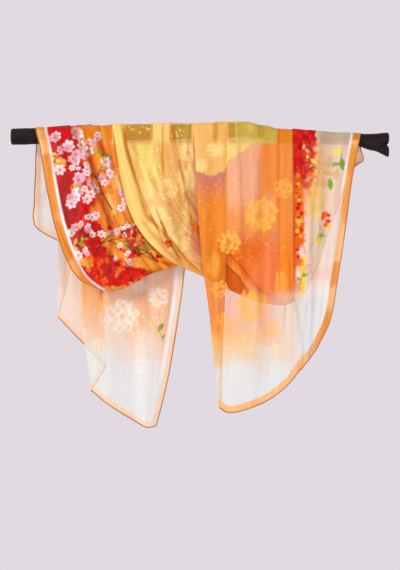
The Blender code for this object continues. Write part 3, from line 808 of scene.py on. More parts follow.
def dye_front_lobe(x, z, ways):
    dye = Dye(x, z, ways, "red")
    right = x - np.interp(z, *RED_EDGE) + 7 * mottle(x, z, 40, 11)
    dye.wash("dense orange", soft_step(-8, 8, right))
    dye.wash("deep orange", 0.4 * soft_step(0.1, 0.9, mottle(x, z, 46, 20)) * soft_step(-8, 8, right))
    dye.wash("brown gold", soft_step(-160, -225, z) * soft_step(-216, -170, x))
    dye.patch("dark olive", -120, -232, 40, 12, 0.6, 12)
    each_in(dye.patch, "yellow", (-158, -96, 16, 22, 0.6, 14), (-180, -150, 12, 26, 0.5, 15))
    each_in(dye.patch, "dark red", (-262, -150, 20, 70, 0.7, 16), (-252, -40, 12, 50, 0.6, 18))
    dye.wash("dark red", 0.5 * soft_step(0.2, 0.9, mottle(x, z, 22, 19)) * soft_step(8, -8, right))
    crest_colours(dye)
    each_in(dye.mass, ("red", "bright red", "dark red", "red"), (-226, -226, 34, 46, 9, 90, 111))
    each_in(dye.mass, ("red", "bright red", "flame"), (-176, -280, 46, 28, 8, 90, 112),
            (-130, -290, 34, 12, 7, 30, 113), (-200, -272, 26, 16, 7, 16, 117))
    each_in(dye.mass, ("flame", "amber", "orange"), (-284, -64, 14, 14, 7, 10, 114),
            (-246, -120, 10, 16, 7, 10, 115), (-226, -262, 12, 10, 7, 7, 116), (-250, 4, 8, 8, 6, 6, 134))
    each(dye.sprig, (-300, -30, -1.3, 44, 5, 15, 143), (-206, -36, -1.1, 46, 6, 14, 144),
         (-262, -236, 0.5, 40, 5, 13, 145), (-128, -236, -0.4, 34, 5, 11, 146))
    dye.spray(((-176, -158, 2.0, 104),), 121, 8.5, 0.65)
    dye.spray(((-212, -252, 0.9, 90), (-84, -262, 2.7, 84)), 123, 6.0, 0.5)
    each_in(dye.mass, ("bright red", "red"), (-150, -206, 40, 22, 5.0, 13, 118),
            (-116, -246, 46, 22, 5.0, 20, 119))
    strewn_blossoms(dye, 17, 12.0, 125)
    each(dye.cluster, (-216, -14, 12, 14, 4, 9.5, 131), (-190, -84, 10, 26, 5, 9.5, 132),
         (-158, -140, 10, 18, 3, 9.0, 133), (-168, -204, 12, 14, 3, 7.5, 136),
         (-150, -258, 26, 10, 3, 7.0, 137))
    hidden = 17 * soft_step(-250, -192, x) + 7 * soft_step(-176, -150, x)
    for edge in ("first", "foot"):
        ways[edge] = ways[edge] + hidden * soft_step(-200, -240, z)
    return dye


def dye_front_sweep(x, z, ways):
    dye = Dye(x, z, ways, "gold")
    along = x + 112 + (z + 20) * 0.3  # 0 along the left part's middle
    dye.wash("bright yellow", soft_step(-26, -40, along) * 0.85)
    dye.wash("yellow green", between(-34, -20, 4, 26, along) * soft_step(-150, -70, z) * 0.85)
    dye.wash("deep gold", 0.5 * soft_step(-150, -260, z) * soft_step(-70, -10, x))
    each_in(dye.patch, "pale gold", (-88, -176, 20, 26, 0.9, 31, 0.25),
            (-26, -96, 17, 26, 0.9, 32, 0.25), (-22, -170, 15, 30, 0.8, 33, 0.25),
            (-112, -120, 16, 22, 0.7, 34, 0.25), (-46, -226, 26, 18, 0.8, 35, 0.25))
    each_in(dye.rosette, "lace yellow", (-66, -118, 21, 0.55, 19, 0.2, 36),
            (-24, -44, 17, 0.5, 17, 0.25, 37), (-30, -212, 19, 0.6, 19, 0.3, 38))
    dye.combed("pale gold", -74, -200, 18, 16, 0.9, 46)
    # Painted shade down the valley by the sweep's right edge, in deep gold and deep orange
    each(dye.patch, ("deep gold", -12, -186, 12, 62, 0.85, 44, 0.8),
         ("deep orange", -9, -216, 9, 34, 0.7, 45, 0.8))
    dye.mass(("flame", "deep orange", "bright red"), -60, -228, 8, 7, 4.5, 8, 39)
    each_in(dye.sprinkle, "lace yellow", (-100, -60, 22, 40, 26, 1.9, 41),
            (-46, -160, 26, 40, 40, 1.7, 42, 0.7), (-40, -90, 20, 40, 22, 1.7, 43, 0.7))
    dye.dotted("lace yellow", ((-136, -40), (-120, -62), (-108, -92)), 5, 1.8)
    dye.dotted("lace yellow", ((-36, -104), (-24, -128), (-8, -144)), 5, 1.8)
    crest_colours(dye)
    return dye


def dye_back_swag(x, z, ways):
    dye = Dye(x, z, ways, "amber")
    dye.wash("mauve", soft_step(-140, -90, z) * soft_step(56, 44, x))
    dye.wash("tan pink", soft_step(-150, -100, z) * between(44, 56, 108, 124, x))
    left_of_pleat = soft_step(196, 184, x)
    # Deeper orange low on the swag behind the lip: partly the print's own colour, partly painted shade
    # next to the lip's band
    dye.wash("deep orange", soft_step(-176, -250, z + 8 * mottle(x, z, 50, 44)) * left_of_pleat * 0.85)
    shadow = soft_step(122, 128, x + z * 0.04) * soft_step(158, 150, x + z * 0.06)
    dye.wash("deep orange", 0.8 * shadow * soft_step(-190, -150, z))
    dye.wash("deep orange", 0.6 * between(156, 160, 186, 196, x))
    dye.wash("dense flame", soft_step(-196, -240, z + 8 * mottle(x, z, 50, 43)) * soft_step(194, 184, x))
    dye.wash("pale peach", soft_step(196, 208, x))
    dye.wash("peach", soft_step(286, 306, x))
    dye.patch("red", 200, -120, 7, 110, 0.9, 45)
    each(dye.rosette, ("lace orange", 146, -196, 30, 0.9, 23, 0.3, 46),
         ("lace yellow", 80, -106, 24, 0.6, 19, 0.2, 48))
    on_lip, foot = soft_step(2, -2, ways["fold"]), ways["foot"]
    dye.wash("burnt orange", on_lip)
    dye.combed("lace orange", 40, -252, 20, 14, 0.6, 49)
    dye.wash("band orange", soft_step(20, 18, foot) * on_lip)
    dye.wash("dense flame", soft_step(10.5, 9, foot) * on_lip)
    dye.wash("fold line", between(17, 19, 21, 23, foot) * on_lip)
    dye.wash("fold line", soft_step(3.4, 2, foot))
    crest_colours(dye, False)
    return dye


def dye_right_end(x, z, ways):
    dye = Dye(x, z, ways, "orange")
    slant = z - (x - 100) * 0.12
    over_lip = soft_step(-190, -236, z + 6 * mottle(x, z, 40, 49)) * soft_step(30, 46, x)
    dye.wash("thin amber", over_lip)
    dye.wash("thin peach", over_lip * soft_step(96, 124, x - (z + 270) * 0.5))
    dye.wash("pink peach", soft_step(-320, -344, slant) * soft_step(40, 76, x) * 0.9)
    dye.wash("amber", soft_step(-346, -390, slant + 8 * mottle(x, z, 50, 50)) * 0.6)
    dye.wash("honey", soft_step(-376, -440, slant + 10 * mottle(x, z, 60, 51)))
    dye.wash("sheer white", soft_step(-430, -496, slant + 10 * mottle(x, z, 60, 52)))
    dye.wash("cream", soft_step(128, 168, x) * between(-440, -400, -340, -310, z) * 0.8)
    top = soft_step(-2.5, 2.5, z - np.interp(x, *TOP_FIELD) + 2.2 * mottle(x, z, 7, 54))
    under = 1 - top
    dye.wash("mauve", soft_step(-150, -90, z) * soft_step(56, 48, x) * under)
    dye.wash("tan pink", soft_step(-190, -110, z + 10 * mottle(x, z, 50, 53))
             * between(48, 58, 110, 128, x) * under)
    dye.wash("yellow", top * soft_step(157, 154, x))
    dye.wash("gold", top * soft_step(50, 46, x) * 0.8)
    dye.wash("deep orange", 0.65 * soft_step(148, 160, x) * soft_step(-330, -290, z))
    # Painted shade along the pleat's edge, as a strip of burnt orange
    dye.wash("burnt orange", 0.5 * between(177, 185, 186, 189, x) * soft_step(-310, -270, z))
    dye.wash("cream", soft_step(202, 209, x) * soft_step(-300, -260, z))
    dye.wash("milk", soft_step(196, 212, x) * soft_step(-250, -320, z) * 0.8)
    dye.wash("cream", soft_step(158, 172, x) * between(-480, -420, -350, -326, z))
    dye.wash("sheer white", soft_step(186, 200, x) * soft_step(-290, -360, z))
    each(dye.patch, ("orange", 214, -96, 34, 74, 0.7, 54), ("yellow leaf", 232, -140, 18, 44, 0.5, 55),
         ("lace orange", 226, -70, 26, 60, 0.5, 155, 0.9), ("red", 205, -50, 27, 66, 0.95, 56, 0.7))
    dye.mass(("red", "bright red", "red", "dark red", "bright red"), 202, -44, 18, 54, 7.5, 46, 57)
    dye.mass(("bright red", "flame"), 216, -92, 9, 26, 4, 8, 58)
    dye.patch("flame", 198, -196, 11, 100, 0.95, 59, 0.6)
    each_in(dye.patch, "tan pink", (280, -140, 12, 26, 0.45, 179, 0.9), (140, -150, 11, 26, 0.6, 65, 0.6))
    dye.patch("yellow leaf", 206, -296, 7, 34, 0.8, 60)
    dye.mass(("red", "bright red", "flame", "orange", "yellow leaf"), 197, -170, 6, 84, 4.5, 40, 61)
    each_in(dye.patch, "milk", (203, -244, 5, 12, 0.8, 161, 0.7), (196, -288, 5, 16, 0.8, 162, 0.7))
    dye.wash("orange", between(156, 162, 186, 187.5, x) * soft_step(-330, -290, z))
    each_in(dye.patch, "leaf", (262, -66, 10, 16, 0.4, 163, 0.9), (244, -212, 9, 18, 0.4, 164, 0.9))
    each(dye.sprig, (286, -34, -1.9, 84, 7, 24, 80), (222, -232, 1.0, 60, 6, 20, 81),
         (206, -20, -1.6, 66, 6, 13, 82), (200, -318, 1.6, 60, 6, 13, 83))
    dye.mass(("bright red", "flame"), 252, -176, 10, 14, 4.5, 9, 84)
    each_in(dye.patch, "lace orange", (120, -172, 22, 26, 0.35, 166, 0.9),
            (60, -222, 16, 16, 0.4, 67, 0.8), (100, -350, 26, 24, 0.5, 176, 0.8),
            (60, -420, 46, 16, 0.4, 177, 0.9))
    each_in(dye.rosette, "lace orange", (122, -168, 31, 0.9, 23, 0.25, 66),
            (58, -224, 22, 0.8, 19, 0.2, 69), (168, -116, 18, 0.7, 19, 0.1, 70),
            (104, -350, 29, 0.9, 21, 0.15, 75), (40, -318, 17, 0.8, 17, 0.2, 74),
            (146, -398, 16, 0.6, 17, 0.2, 76))
    dye.patch("lace yellow", 32, -36, 16, 16, 0.4, 171, 0.9)
    each_in(dye.rosette, "lace yellow", (32, -36, 16, 0.6, 17, 0.0, 71), (2, -70, 12, 0.6, 15, 0.0, 72))
    each_in(dye.combed, "lace orange", (28, -270, 14, 26, 0.7, 73), (162, -304, 13, 26, 0.75, 68),
            (52, -384, 22, 20, 0.8, 77), (118, -408, 20, 12, 0.6, 79))
    dye.combed("lace cream", 150, -440, 16, 14, 0.5, 181)
    dye.dotted("lace yellow", ((66, -96), (84, -120), (82, -152)), 7, 2.0, 0.6)
    dye.dotted("lace orange", ((128, -224), (150, -240), (172, -232)), 5, 1.8)
    each_in(dye.sprinkle, "lace orange", (96, -240, 26, 30, 22, 1.8, 85, 0.7),
            (90, -400, 40, 18, 16, 2.0, 86), (20, -150, 22, 60, 30, 2.0, 87, 0.6))
    dye.sprinkle("lace cream", 90, -430, 44, 16, 18, 1.8, 88, 0.6)
    flap = soft_step(15, 9, ways["first"])
    dye.wash("border", flap * between(-500, -420, -280, -180, z) * 0.8)
    crest_colours(dye)
    return dye


# side: of the branch; grain: from point to point of the cloth; flat, area: its cut in metres, as
# the widest run by the longest; hems: the edges with a rolled hem, which goes up to hem_to along X;
# borders: the edges with a printed border, as wide as band; stripe: the width of the white line
# inside it, along one edge or all, and down to stripe_to; pale: how pale the border is, or under 0
# how strong; thin: how thin it is where the branch shows through.
Stretch = namedtuple(
    "Stretch", "name folds side grain dye flat area held hems hem_to borders band stripe stripe_along"
    " stripe_to pale thin", defaults=((), math.inf, (), 0, 0, None, -999, 0, 0))
EDGES = ("first", "foot", "last")

STRETCHES = (
    Stretch("left_end", LEFT_END, BACK, 2.2, dye_left_end, (0.61, 0.62), 0.209, "hung",
            hems=EDGES, borders=EDGES, band=11, stripe=8, stripe_along="last", stripe_to=-500,
            pale=0.85),
    Stretch("front_lobe", FRONT_LOBE, FRONT, 1.25, dye_front_lobe, (0.19, 0.38), 0.068, "draped",
            hems=("first", "foot"), hem_to=-190, borders=("first", "foot"), band=17, stripe=5,
            pale=-0.3, thin=0.4),
    Stretch("front_sweep", FRONT_SWEEP, FRONT, 1.5, dye_front_sweep, (0.26, 0.4), 0.069, "gathered"),
    Stretch("back_swag", BACK_SWAG, BACK, 1.9, dye_back_swag, (0.38, 0.37), 0.108, "draped",
            hems=("foot", "last")),
    Stretch("right_end", RIGHT_END, FRONT, 1.95, dye_right_end, (0.45, 0.6), 0.195, "hung",
            hems=EDGES, borders=("foot", "last"), band=14, stripe=5, stripe_along="last",
            stripe_to=-140, pale=0.05, thin=1),
)


def bordered(dye, stretch):
    """Lays the white stripe, the border and the dark line of the hem along the edges."""
    if not stretch.borders:
        return
    way = np.minimum.reduce([dye.ways[edge] for edge in stretch.borders])
    along = dye.ways[stretch.stripe_along] if stretch.stripe_along else way
    ends = soft_step(stretch.stripe_to - 30, stretch.stripe_to + 30, dye.z)
    worn = 0.85 + 0.2 * mottle(dye.x, dye.z, 34, 72)
    wide = stretch.band + stretch.stripe
    dye.wash("white stripe", ends * worn * soft_step(wide + 1.6, wide - 1.6, along))
    in_band = soft_step(stretch.band + 1, stretch.band - 1, way)
    patches = soft_step(-0.3, 0.5, mottle(dye.x, dye.z, 90, 71) - soft_step(-400, -470, dye.z))
    dye.wash("border peach", in_band)
    dye.wash("border pale", in_band * stretch.pale)
    dye.wash("border", in_band * patches * (1 - stretch.pale))
    dye.wash("thin border", in_band * soft_step(-22, -14, dye.z) * stretch.thin)
    dye.wash("hem line", soft_step(2.2, 1.2, way))


# ---------------------------------------------------------------- making pieces


def new_object(name, data):
    """An object of the data, at the origin of the scene."""
    made = bpy.data.objects.new(name, data)
    bpy.context.scene.collection.objects.link(made)
    return made


@contextmanager
def reshaping(mesh):
    """The mesh as a bmesh, which is written back at the end."""
    shape = bmesh.new()
    shape.from_mesh(mesh)
    yield shape
    shape.to_mesh(mesh)
    shape.free()


def mesh_of(drawn):
    """The mesh that an object shows, in the object's place."""
    graph = bpy.context.evaluated_depsgraph_get()
    mesh = bpy.data.meshes.new_from_object(drawn.evaluated_get(graph))
    bpy.data.objects.remove(drawn, do_unlink=True)
    return mesh


def sheet_object(name, points):
    """A one-sided sheet from a grid that a bmesh operator makes, moved to the points."""
    rows, columns = points.shape[:2]
    mesh = bpy.data.meshes.new(name)
    with reshaping(mesh) as shape:
        shape.loops.layers.uv.new("cloth")
        bmesh.ops.create_grid(shape, x_segments=columns - 1, y_segments=rows - 1, size=0.5,
                              calc_uvs=True)
    flat = np.empty(len(mesh.vertices) * 3)
    mesh.vertices.foreach_get("co", flat)
    across, down = flat[0::3] + 0.5, 0.5 - flat[1::3]
    column = np.rint(across * (columns - 1)).astype(int)
    row = np.rint(down * (rows - 1)).astype(int)
    mesh.vertices.foreach_set("co", (points[row, column] * MM).ravel())
    mesh.update()
    mesh.shade_smooth()
    return new_object(name, mesh), row * columns + column


def store_dye_and_painted_shade(mesh, dye, order):
    """Keeps the dye, the print with the creases' painted shade, on the mesh as a colour, with its cover
    as alpha.
    """
    layer = mesh.color_attributes.new("dye", "FLOAT_COLOR", "POINT")
    values = np.concatenate([dye.colour, dye.cover[:, None]], axis=1)[order]
    layer.data.foreach_set("color", np.clip(values, 0, 1).ravel())


def hem_object(name, route):
    """The rolled hem as a thin round tube along an edge."""
    line = bpy.data.curves.new(name, "CURVE")
    line.dimensions = "3D"
    line.bevel_depth = bpy.context.scene.scarf.hem_radius
    line.bevel_resolution = 2
    line.use_fill_caps = True
    spline = line.splines.new("POLY")
    spline.points.add(len(route) - 1)
    for point, place in zip(spline.points, route):
        point.co = (*(place * MM), 1.0)
    mesh = mesh_of(new_object(name + " line", line))
    with reshaping(mesh) as shape:
        bmesh.ops.remove_doubles(shape, verts=shape.verts, dist=SAME_PLACE)
        bmesh.ops.recalc_face_normals(shape, faces=shape.faces)
    mesh.name = name
    mesh.shade_smooth()
    return new_object(name, mesh)


def hem_route(points, edges, end_x):
    """One line along all hemmed edges in turn, up to end_x."""
    lines = {"first": points[:, 0], "foot": points[-1], "last": points[::-1, -1]}
    route = np.concatenate([lines[edge] for edge in edges])
    kept = [route[0]]
    for place in route[1:]:
        if place[0] > end_x:
            break
        if np.linalg.norm(place - kept[-1]) > HEM_STEP:
            kept.append(place)
    return kept


def draped(stretch):
    """The smooth cloth of a stretch, and each point's way to its edges and its foot's fold."""
    lines = cloth_lines(stretch.folds, stretch.side, stretch.grain)
    points = cloth_points(lines, stretch.side, stretch.grain)
    heights = lip_heights(stretch.folds, lines)
    if heights.any():
        points = with_lip(points, heights, stretch.grain, -stretch.side)
    ways = {edge: edge_distance(points, edge) for edge in EDGES}
    if heights.any():
        ways["fold"] = ways["foot"] - heights
    return points, {edge: way.ravel() for edge, way in ways.items()}


def crease(stretch, points, x, z):
    """Moves the points by the stretch's creases, gathers and crinkle; returns the painted shade that they
    lay on the colour.
    """
    moved, shade = relief(x, z, CREASES[stretch.name])
    gathered, tone = gathers(x.shape, stretch.grain, GATHERS[stretch.name])
    calm = 1 - 0.75 * soft_step(-330, -430, z)
    fine = CRINKLE * mottle(x, z * 0.4, 16, 81) * soft_step(-10, -60, z)
    wave = 1 + 0.6 * mottle(x, np.zeros_like(x), 26, 82)
    points[..., 2] += CREST_WAVE * wave * soft_step(0, 14, z)
    points[..., 1] += stretch.side * ((moved + gathered) * soft_step(4, -40, z) * calm + fine)
    return (shade + tone) * calm


def fit(piece, material):
    """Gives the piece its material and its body."""
    piece.data.materials.append(material)
    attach(piece, "root")


def build_stretch(stretch):
    """One stretch of gauze with its creases, print and hem, in its solid's place."""
    points, ways = draped(stretch)
    x, z = points[..., 0].copy(), points[..., 2].copy()
    shade = crease(stretch, points, x, z).ravel()
    # Painted shade along the fold where the foot turns up into its lip
    if "fold" in ways:
        shade += 0.3 * np.exp(-((ways["fold"] / 9) ** 2))
    dye = stretch.dye(x.ravel(), z.ravel(), ways)
    bordered(dye, stretch)
    # Lays the painted shade of the creases, gathers and lip fold on the print
    dye.shade(bpy.context.scene.scarf.crease_shade * shade)
    piece, order = sheet_object(stretch.name + "_gauze", points)
    store_dye_and_painted_shade(piece.data, dye, order)
    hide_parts(stretch.name)
    fit(piece, bpy.data.materials.get("dyed gauze") or gauze_material())
    if stretch.hems:
        hem = hem_object(stretch.name + "_hem", hem_route(points, stretch.hems, stretch.hem_to))
        fit(hem, bpy.data.materials.get("rolled hem") or hem_material())


# ---------------------------------------------------------------- materials


class Value:
    """A socket that can be used in sums."""

    def __init__(self, net, socket):
        self.net, self.socket = net, socket

    def sum(self, operation, *values):
        return self.net.node("ShaderNodeMath", {"operation": operation}, *values)

    def __add__(self, other):
        return self.sum("ADD", self, other)

    def __radd__(self, other):
        return self.sum("ADD", other, self)

    def __sub__(self, other):
        return self.sum("SUBTRACT", self, other)

    def __rsub__(self, other):
        return self.sum("SUBTRACT", other, self)

    def __mul__(self, other):
        return self.sum("MULTIPLY", self, other)

    def __rmul__(self, other):
        return self.sum("MULTIPLY", other, self)


class Net:
    """The nodes of a material or a world, made by one method."""

    def __init__(self, owner, shader="Principled BSDF"):
        owner.use_nodes = True
        self.tree = owner.node_tree
        self.shader = self.tree.nodes[shader]

    def node(self, kind, settings, *values, output=0, **named):
        """A node with its settings, then its sockets in order or by name; returns an output."""
        made = self.tree.nodes.new(kind)
        for key, setting in settings.items():
            if key == "stops":
                self.set_ramp(made.color_ramp, setting)
            else:
                setattr(made, key, setting)
        self.feed(made, {**dict(enumerate(values)), **named})
        return Value(self, made.outputs[output])

    def set_ramp(self, ramp, stops):
        for index, (place, colour) in enumerate(stops):
            stop = ramp.elements[index] if index < 2 else ramp.elements.new(place)
            stop.position, stop.color = place, (*colour, 1.0)

    def feed(self, node, values):
        """Sets or links sockets, given by index or by name."""
        for key, value in values.items():
            socket = node.inputs[key.replace("_", " ") if isinstance(key, str) else key]
            if isinstance(value, Value):
                self.tree.links.new(value.socket, socket)
            else:
                socket.default_value = value

    def noise(self, place, size, detail, **named):
        return self.node("ShaderNodeTexNoise", {}, Vector=place, Scale=size, Detail=detail, **named)

    def stretched(self, place, *scale):
        return self.node("ShaderNodeMapping", {}, place, Scale=scale)

    def ramp(self, value, *stops):
        return self.node("ShaderNodeValToRGB", {"stops": stops}, value)

    def surface(self, **named):
        self.feed(self.shader, named)


def painted(name):
    """A new material, its nodes and the place on the piece."""
    material = bpy.data.materials.new(name)
    net = Net(material)
    return material, net, net.node("ShaderNodeTexCoord", {}, output="Object")


def gauze_material():
    """Sheer crinkled gauze in the colours of its dye, which holds the print with the creases' painted
    shade.
    """
    material, net, place = painted("dyed gauze")
    # The dye attribute: the print with the creases' painted shade in its colour
    dye = net.node("ShaderNodeAttribute", {"attribute_name": "dye"}, output="Color")
    cover = net.node("ShaderNodeAttribute", {"attribute_name": "dye"}, output="Alpha")
    warp = net.noise(net.stretched(place, 900, 900, 220), 1.0, 2.0)
    weft = net.noise(net.stretched(place, 220, 220, 900), 1.0, 2.0)
    soft = net.noise(place, 55.0, 3.0)
    grain = (warp + weft) * 0.5
    light = 0.88 + grain * 0.14 + soft * 0.1
    tint = net.node("ShaderNodeVectorMath", {"operation": "MULTIPLY"}, dye, light)
    bump = net.node("ShaderNodeBump", {}, Strength=0.35, Distance=0.0006, Height=grain)
    net.surface(Base_Color=tint, Alpha=cover * (0.9 + grain * 0.2), Roughness=0.62 + soft * 0.2,
                Normal=bump, Specular_IOR_Level=0.12, Sheen_Weight=0.03, Sheen_Roughness=0.4)
    return material


def hem_material():
    """The rolled hem: twisted orange thread over a roll of gauze."""
    material, net, place = painted("rolled hem")
    turns = net.node("ShaderNodeTexWave", {"bands_direction": "DIAGONAL"}, Vector=place,
                     Scale=190.0, Distortion=1.2, output="Fac")
    worn = net.noise(place, 30.0, 2.0)
    thread = net.ramp(turns * 0.35 + worn * 0.65, (0.2, (0.3, 0.1, 0.02)),
                      (0.55, (0.5, 0.19, 0.04)), (0.85, (0.68, 0.33, 0.1)))
    bump = net.node("ShaderNodeBump", {}, Strength=0.4, Distance=0.0003, Height=turns)
    net.surface(Base_Color=thread, Roughness=0.6 + worn * 0.2, Normal=bump,
                Specular_IOR_Level=0.3, Sheen_Weight=0.2)
    return material


def bark_material():
    """Dark bark, nearly black, with long fine ridges and a low sheen."""
    material, net, place = painted("dark bark")
    ridges = net.noise(net.stretched(place, 18, 120, 120), 1.0, 5.0, Roughness=0.62, Distortion=0.6)
    spots = net.noise(place, 150.0, 3.0)
    dark = bpy.context.scene.bare_branch.bark
    brown = [min(1.0, value * 2.2 + 0.002) for value in dark]
    pale = [min(1.0, value * 4 + 0.006) for value in dark]
    colour = net.ramp(ridges * 0.7 + spots * 0.3, (0.35, dark), (0.58, brown), (0.78, pale))
    bump = net.node("ShaderNodeBump", {}, Strength=0.6, Distance=0.0016,
                    Height=ridges * 0.8 + spots * 0.2)
    net.surface(Base_Color=colour, Roughness=0.36 + ridges * 0.35, Normal=bump,
                Specular_IOR_Level=0.16)
    return material


def floor_material():
    """A pale floor with a faint grain."""
    material, net, place = painted("pale floor")
    colour = net.ramp(net.noise(place, 40.0, 2.0), (0.3, (0.66, 0.62, 0.66)),
                      (0.7, (0.7, 0.66, 0.7)))
    net.surface(Base_Color=colour, Roughness=0.85)
    return material


def air_dimmed_in_front(world, colour, share):
    """The air, which gives less light from the viewer's side, so that the lamps shape the
    folds. What the camera sees of it stays even."""
    net = Net(world, "Background")
    way = net.node("ShaderNodeTexCoord", {}, output="Object")
    back = net.node("ShaderNodeSeparateXYZ", {}, way, output="Y")
    light = net.node("ShaderNodeMapRange", {"interpolation_type": "SMOOTHSTEP"}, back,
                     AIR_FRONT, AIR_BACK, share, 1.0)
    seen = net.node("ShaderNodeLightPath", {}, output="Is Camera Ray")
    net.surface(Color=(*colour, 1.0), Strength=light.sum("MAXIMUM", light, seen))


# ---------------------------------------------------------------- settings and operators


class ScarfSettings(bpy.types.PropertyGroup):
    """Sizes and finish of the scarf."""

    hem_radius: FloatProperty(
        name="Hem radius", description="Radius of the rolled hem", default=0.0008,
        min=0.0003, max=0.003, unit="LENGTH")
    # How strongly the creases are painted into the colour as shade and highlight
    crease_shade: FloatProperty(
        name="Crease shade", description="How much of the creases' depth shows in the dye",
        default=1.0, min=0.0, max=2.0, subtype="FACTOR")


class BranchSettings(bpy.types.PropertyGroup):
    """Finish of the branch."""

    bark: FloatVectorProperty(
        name="Bark", description="Colour of the darkest bark", default=(0.0058, 0.003, 0.003),
        min=0.0, max=1.0, subtype="COLOR")
    knots: FloatProperty(
        name="Knots", description="Height of the bark's knots and dents", default=0.0011,
        min=0.0, max=0.004, unit="LENGTH")


class StageSettings(bpy.types.PropertyGroup):
    """Light, background and camera."""

    air: FloatVectorProperty(
        name="Background", description="Colour of the pale background",
        default=(0.752, 0.702, 0.752), min=0.0, max=1.0, subtype="COLOR")
    front_air: FloatProperty(
        name="Front air", description="Brightness of the air on the viewer's side",
        default=0.6, min=0.0, max=1.0, subtype="FACTOR")
    key: FloatProperty(
        name="Key light", description="Power of the large light from the left", default=190.0,
        min=0.0, max=900.0, unit="POWER")
    fill: FloatProperty(
        name="Fill light", description="Power of the light from the right", default=18.0,
        min=0.0, max=500.0, unit="POWER")
    lens: FloatProperty(
        name="Lens", description="Focal length of the camera in millimetres", default=100.0,
        min=20.0, max=300.0, unit="CAMERA")


class SCARF_OT_branch(bpy.types.Operator):
    """Gives the branch its bark, knots and sawn ends"""

    bl_idname = "scarf.branch"
    bl_label = "Branch"

    def execute(self, context):
        knots = context.scene.bare_branch.knots
        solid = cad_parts["branch"].data.copy()
        with reshaping(solid) as shape:
            bmesh.ops.remove_doubles(shape, verts=shape.verts, dist=SAME_PLACE)
        rough = new_object("branch rough", solid)
        even = rough.modifiers.new("even", "REMESH")
        even.mode = "VOXEL"
        even.voxel_size = BARK_GRAIN
        bark = mesh_of(rough)
        with reshaping(bark) as shape:
            bmesh.ops.smooth_vert(shape, verts=shape.verts, factor=0.5, use_axis_x=True,
                                  use_axis_y=True, use_axis_z=True)
            shape.normal_update()
            for vertex in shape.verts:
                if abs(vertex.co.x) <= SAWN_FROM:
                    vertex.co += vertex.normal * (bark_lift(vertex.co) * knots)
        bark.materials.clear()
        bark.shade_smooth()
        piece = new_object("branch_bark", bark)
        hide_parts("branch")
        fit(piece, bark_material())
        return {"FINISHED"}


def bark_lift(place):
    """How far the bark stands out at a place: knots and fine ridges, kept in under the cloth."""
    wide = noise.noise(Vector((place.x * 38, place.y * 90, place.z * 90)))
    fine = noise.noise(Vector((place.x * 110, place.y * 320, place.z * 320)))
    lift = wide * 0.75 + fine * 0.35
    return min(lift, 0.0) - 0.1 if abs(place.x) < CLOTH_FROM else lift


class SCARF_OT_left_end(bpy.types.Operator):
    """Hangs the pleated end behind the branch"""

    bl_idname = "scarf.left_end"
    bl_label = "Left end"

    def execute(self, context):
        build_stretch(STRETCHES[0])
        return {"FINISHED"}


class SCARF_OT_swag(bpy.types.Operator):
    """Drapes the blossom lobe, the gold sweep and the swag behind the branch"""

    bl_idname = "scarf.swag"
    bl_label = "Swag"

    def execute(self, context):
        for stretch in STRETCHES[1:4]:
            build_stretch(stretch)
        return {"FINISHED"}


class SCARF_OT_right_end(bpy.types.Operator):
    """Hangs the end in front of the branch at the right"""

    bl_idname = "scarf.right_end"
    bl_label = "Right end"

    def execute(self, context):
        build_stretch(STRETCHES[4])
        return {"FINISHED"}


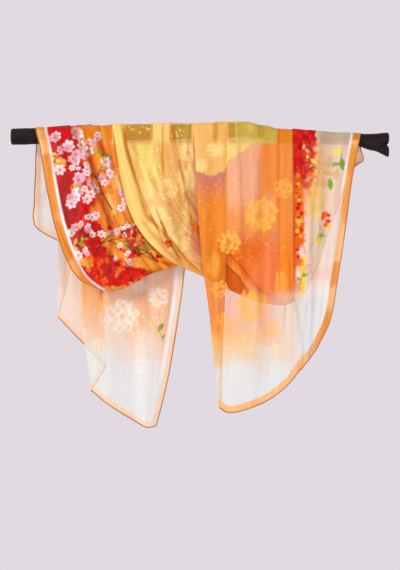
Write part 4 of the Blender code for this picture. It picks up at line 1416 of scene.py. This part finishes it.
class SCARF_OT_stage(bpy.types.Operator):
    """Sets up the floor, the soft light and the camera"""

    bl_idname = "scarf.stage"
    bl_label = "Stage"

    def execute(self, context):
        settings = context.scene.scarf_stage
        mesh = bpy.data.meshes.new("floor")
        with reshaping(mesh) as shape:
            bmesh.ops.create_circle(shape, cap_ends=True, segments=96, radius=FLOOR_RADIUS)
            bmesh.ops.translate(shape, verts=shape.verts, vec=(0, 0, FLOOR_HEIGHT))
        mesh.materials.append(floor_material())
        new_object("floor", mesh)
        context.scene.world = bpy.data.worlds.new("pale air")
        air_dimmed_in_front(context.scene.world, settings.air, settings.front_air)
        context.scene.view_settings.view_transform = "Standard"
        area_light("key light", KEY_PLACE, KEY_SIZE, settings.key)
        area_light("fill light", FILL_PLACE, FILL_SIZE, settings.fill)
        lens = bpy.data.cameras.new("camera")
        lens.lens = settings.lens
        camera = new_object("camera", lens)
        away = FRAME_TALL * settings.lens / lens.sensor_width
        camera.location = (0.0, -away - CLOTH_FRONT, FRAME_MIDDLE)
        camera.rotation_euler = (math.pi / 2, 0.0, 0.0)
        context.scene.camera = camera
        return {"FINISHED"}


def area_light(name, place, size, power):
    """A round lamp that shines at the scarf."""
    light = bpy.data.lights.new(name, "AREA")
    light.shape = "DISK"
    light.size = size
    light.energy = power
    lamp = new_object(name, light)
    lamp.location = place
    aim = Vector(LIGHT_AIM) - lamp.location
    lamp.rotation_euler = aim.to_track_quat("-Z", "Y").to_euler()


class SCARF_PT_panel(bpy.types.Panel):
    """Lists the pieces of the scarf in the sidebar"""

    bl_idname = "SCARF_PT_panel"
    bl_label = "Gauze scarf"
    bl_space_type = "VIEW_3D"
    bl_region_type = "UI"
    bl_category = "Scarf"

    def draw(self, context):
        scene = context.scene
        for group, names in (
            (scene.bare_branch, ("bark", "knots")),
            (scene.scarf, ("hem_radius", "crease_shade")),
            (scene.scarf_stage, ("air", "front_air", "key", "fill", "lens")),
        ):
            for name in names:
                self.layout.prop(group, name)
        for operator in OPERATORS:
            self.layout.operator(operator.bl_idname)


OPERATORS = (SCARF_OT_branch, SCARF_OT_left_end, SCARF_OT_swag, SCARF_OT_right_end, SCARF_OT_stage)
GROUPS = (ScarfSettings, BranchSettings, StageSettings)


def register():
    for item in (*GROUPS, *OPERATORS, SCARF_PT_panel):
        bpy.utils.register_class(item)
    bpy.types.Scene.scarf = PointerProperty(type=ScarfSettings)
    bpy.types.Scene.bare_branch = PointerProperty(type=BranchSettings)
    bpy.types.Scene.scarf_stage = PointerProperty(type=StageSettings)


def unregister():
    del bpy.types.Scene.scarf_stage
    del bpy.types.Scene.bare_branch
    del bpy.types.Scene.scarf
    for item in reversed((*GROUPS, *OPERATORS, SCARF_PT_panel)):
        bpy.utils.unregister_class(item)


def main():
    register()
    bpy.ops.scarf.branch()
    bpy.ops.scarf.left_end()
    bpy.ops.scarf.swag()
    bpy.ops.scarf.right_end()
    bpy.ops.scarf.stage()
    bpy.context.view_layer.update()


if __name__ == "__main__":
    main()
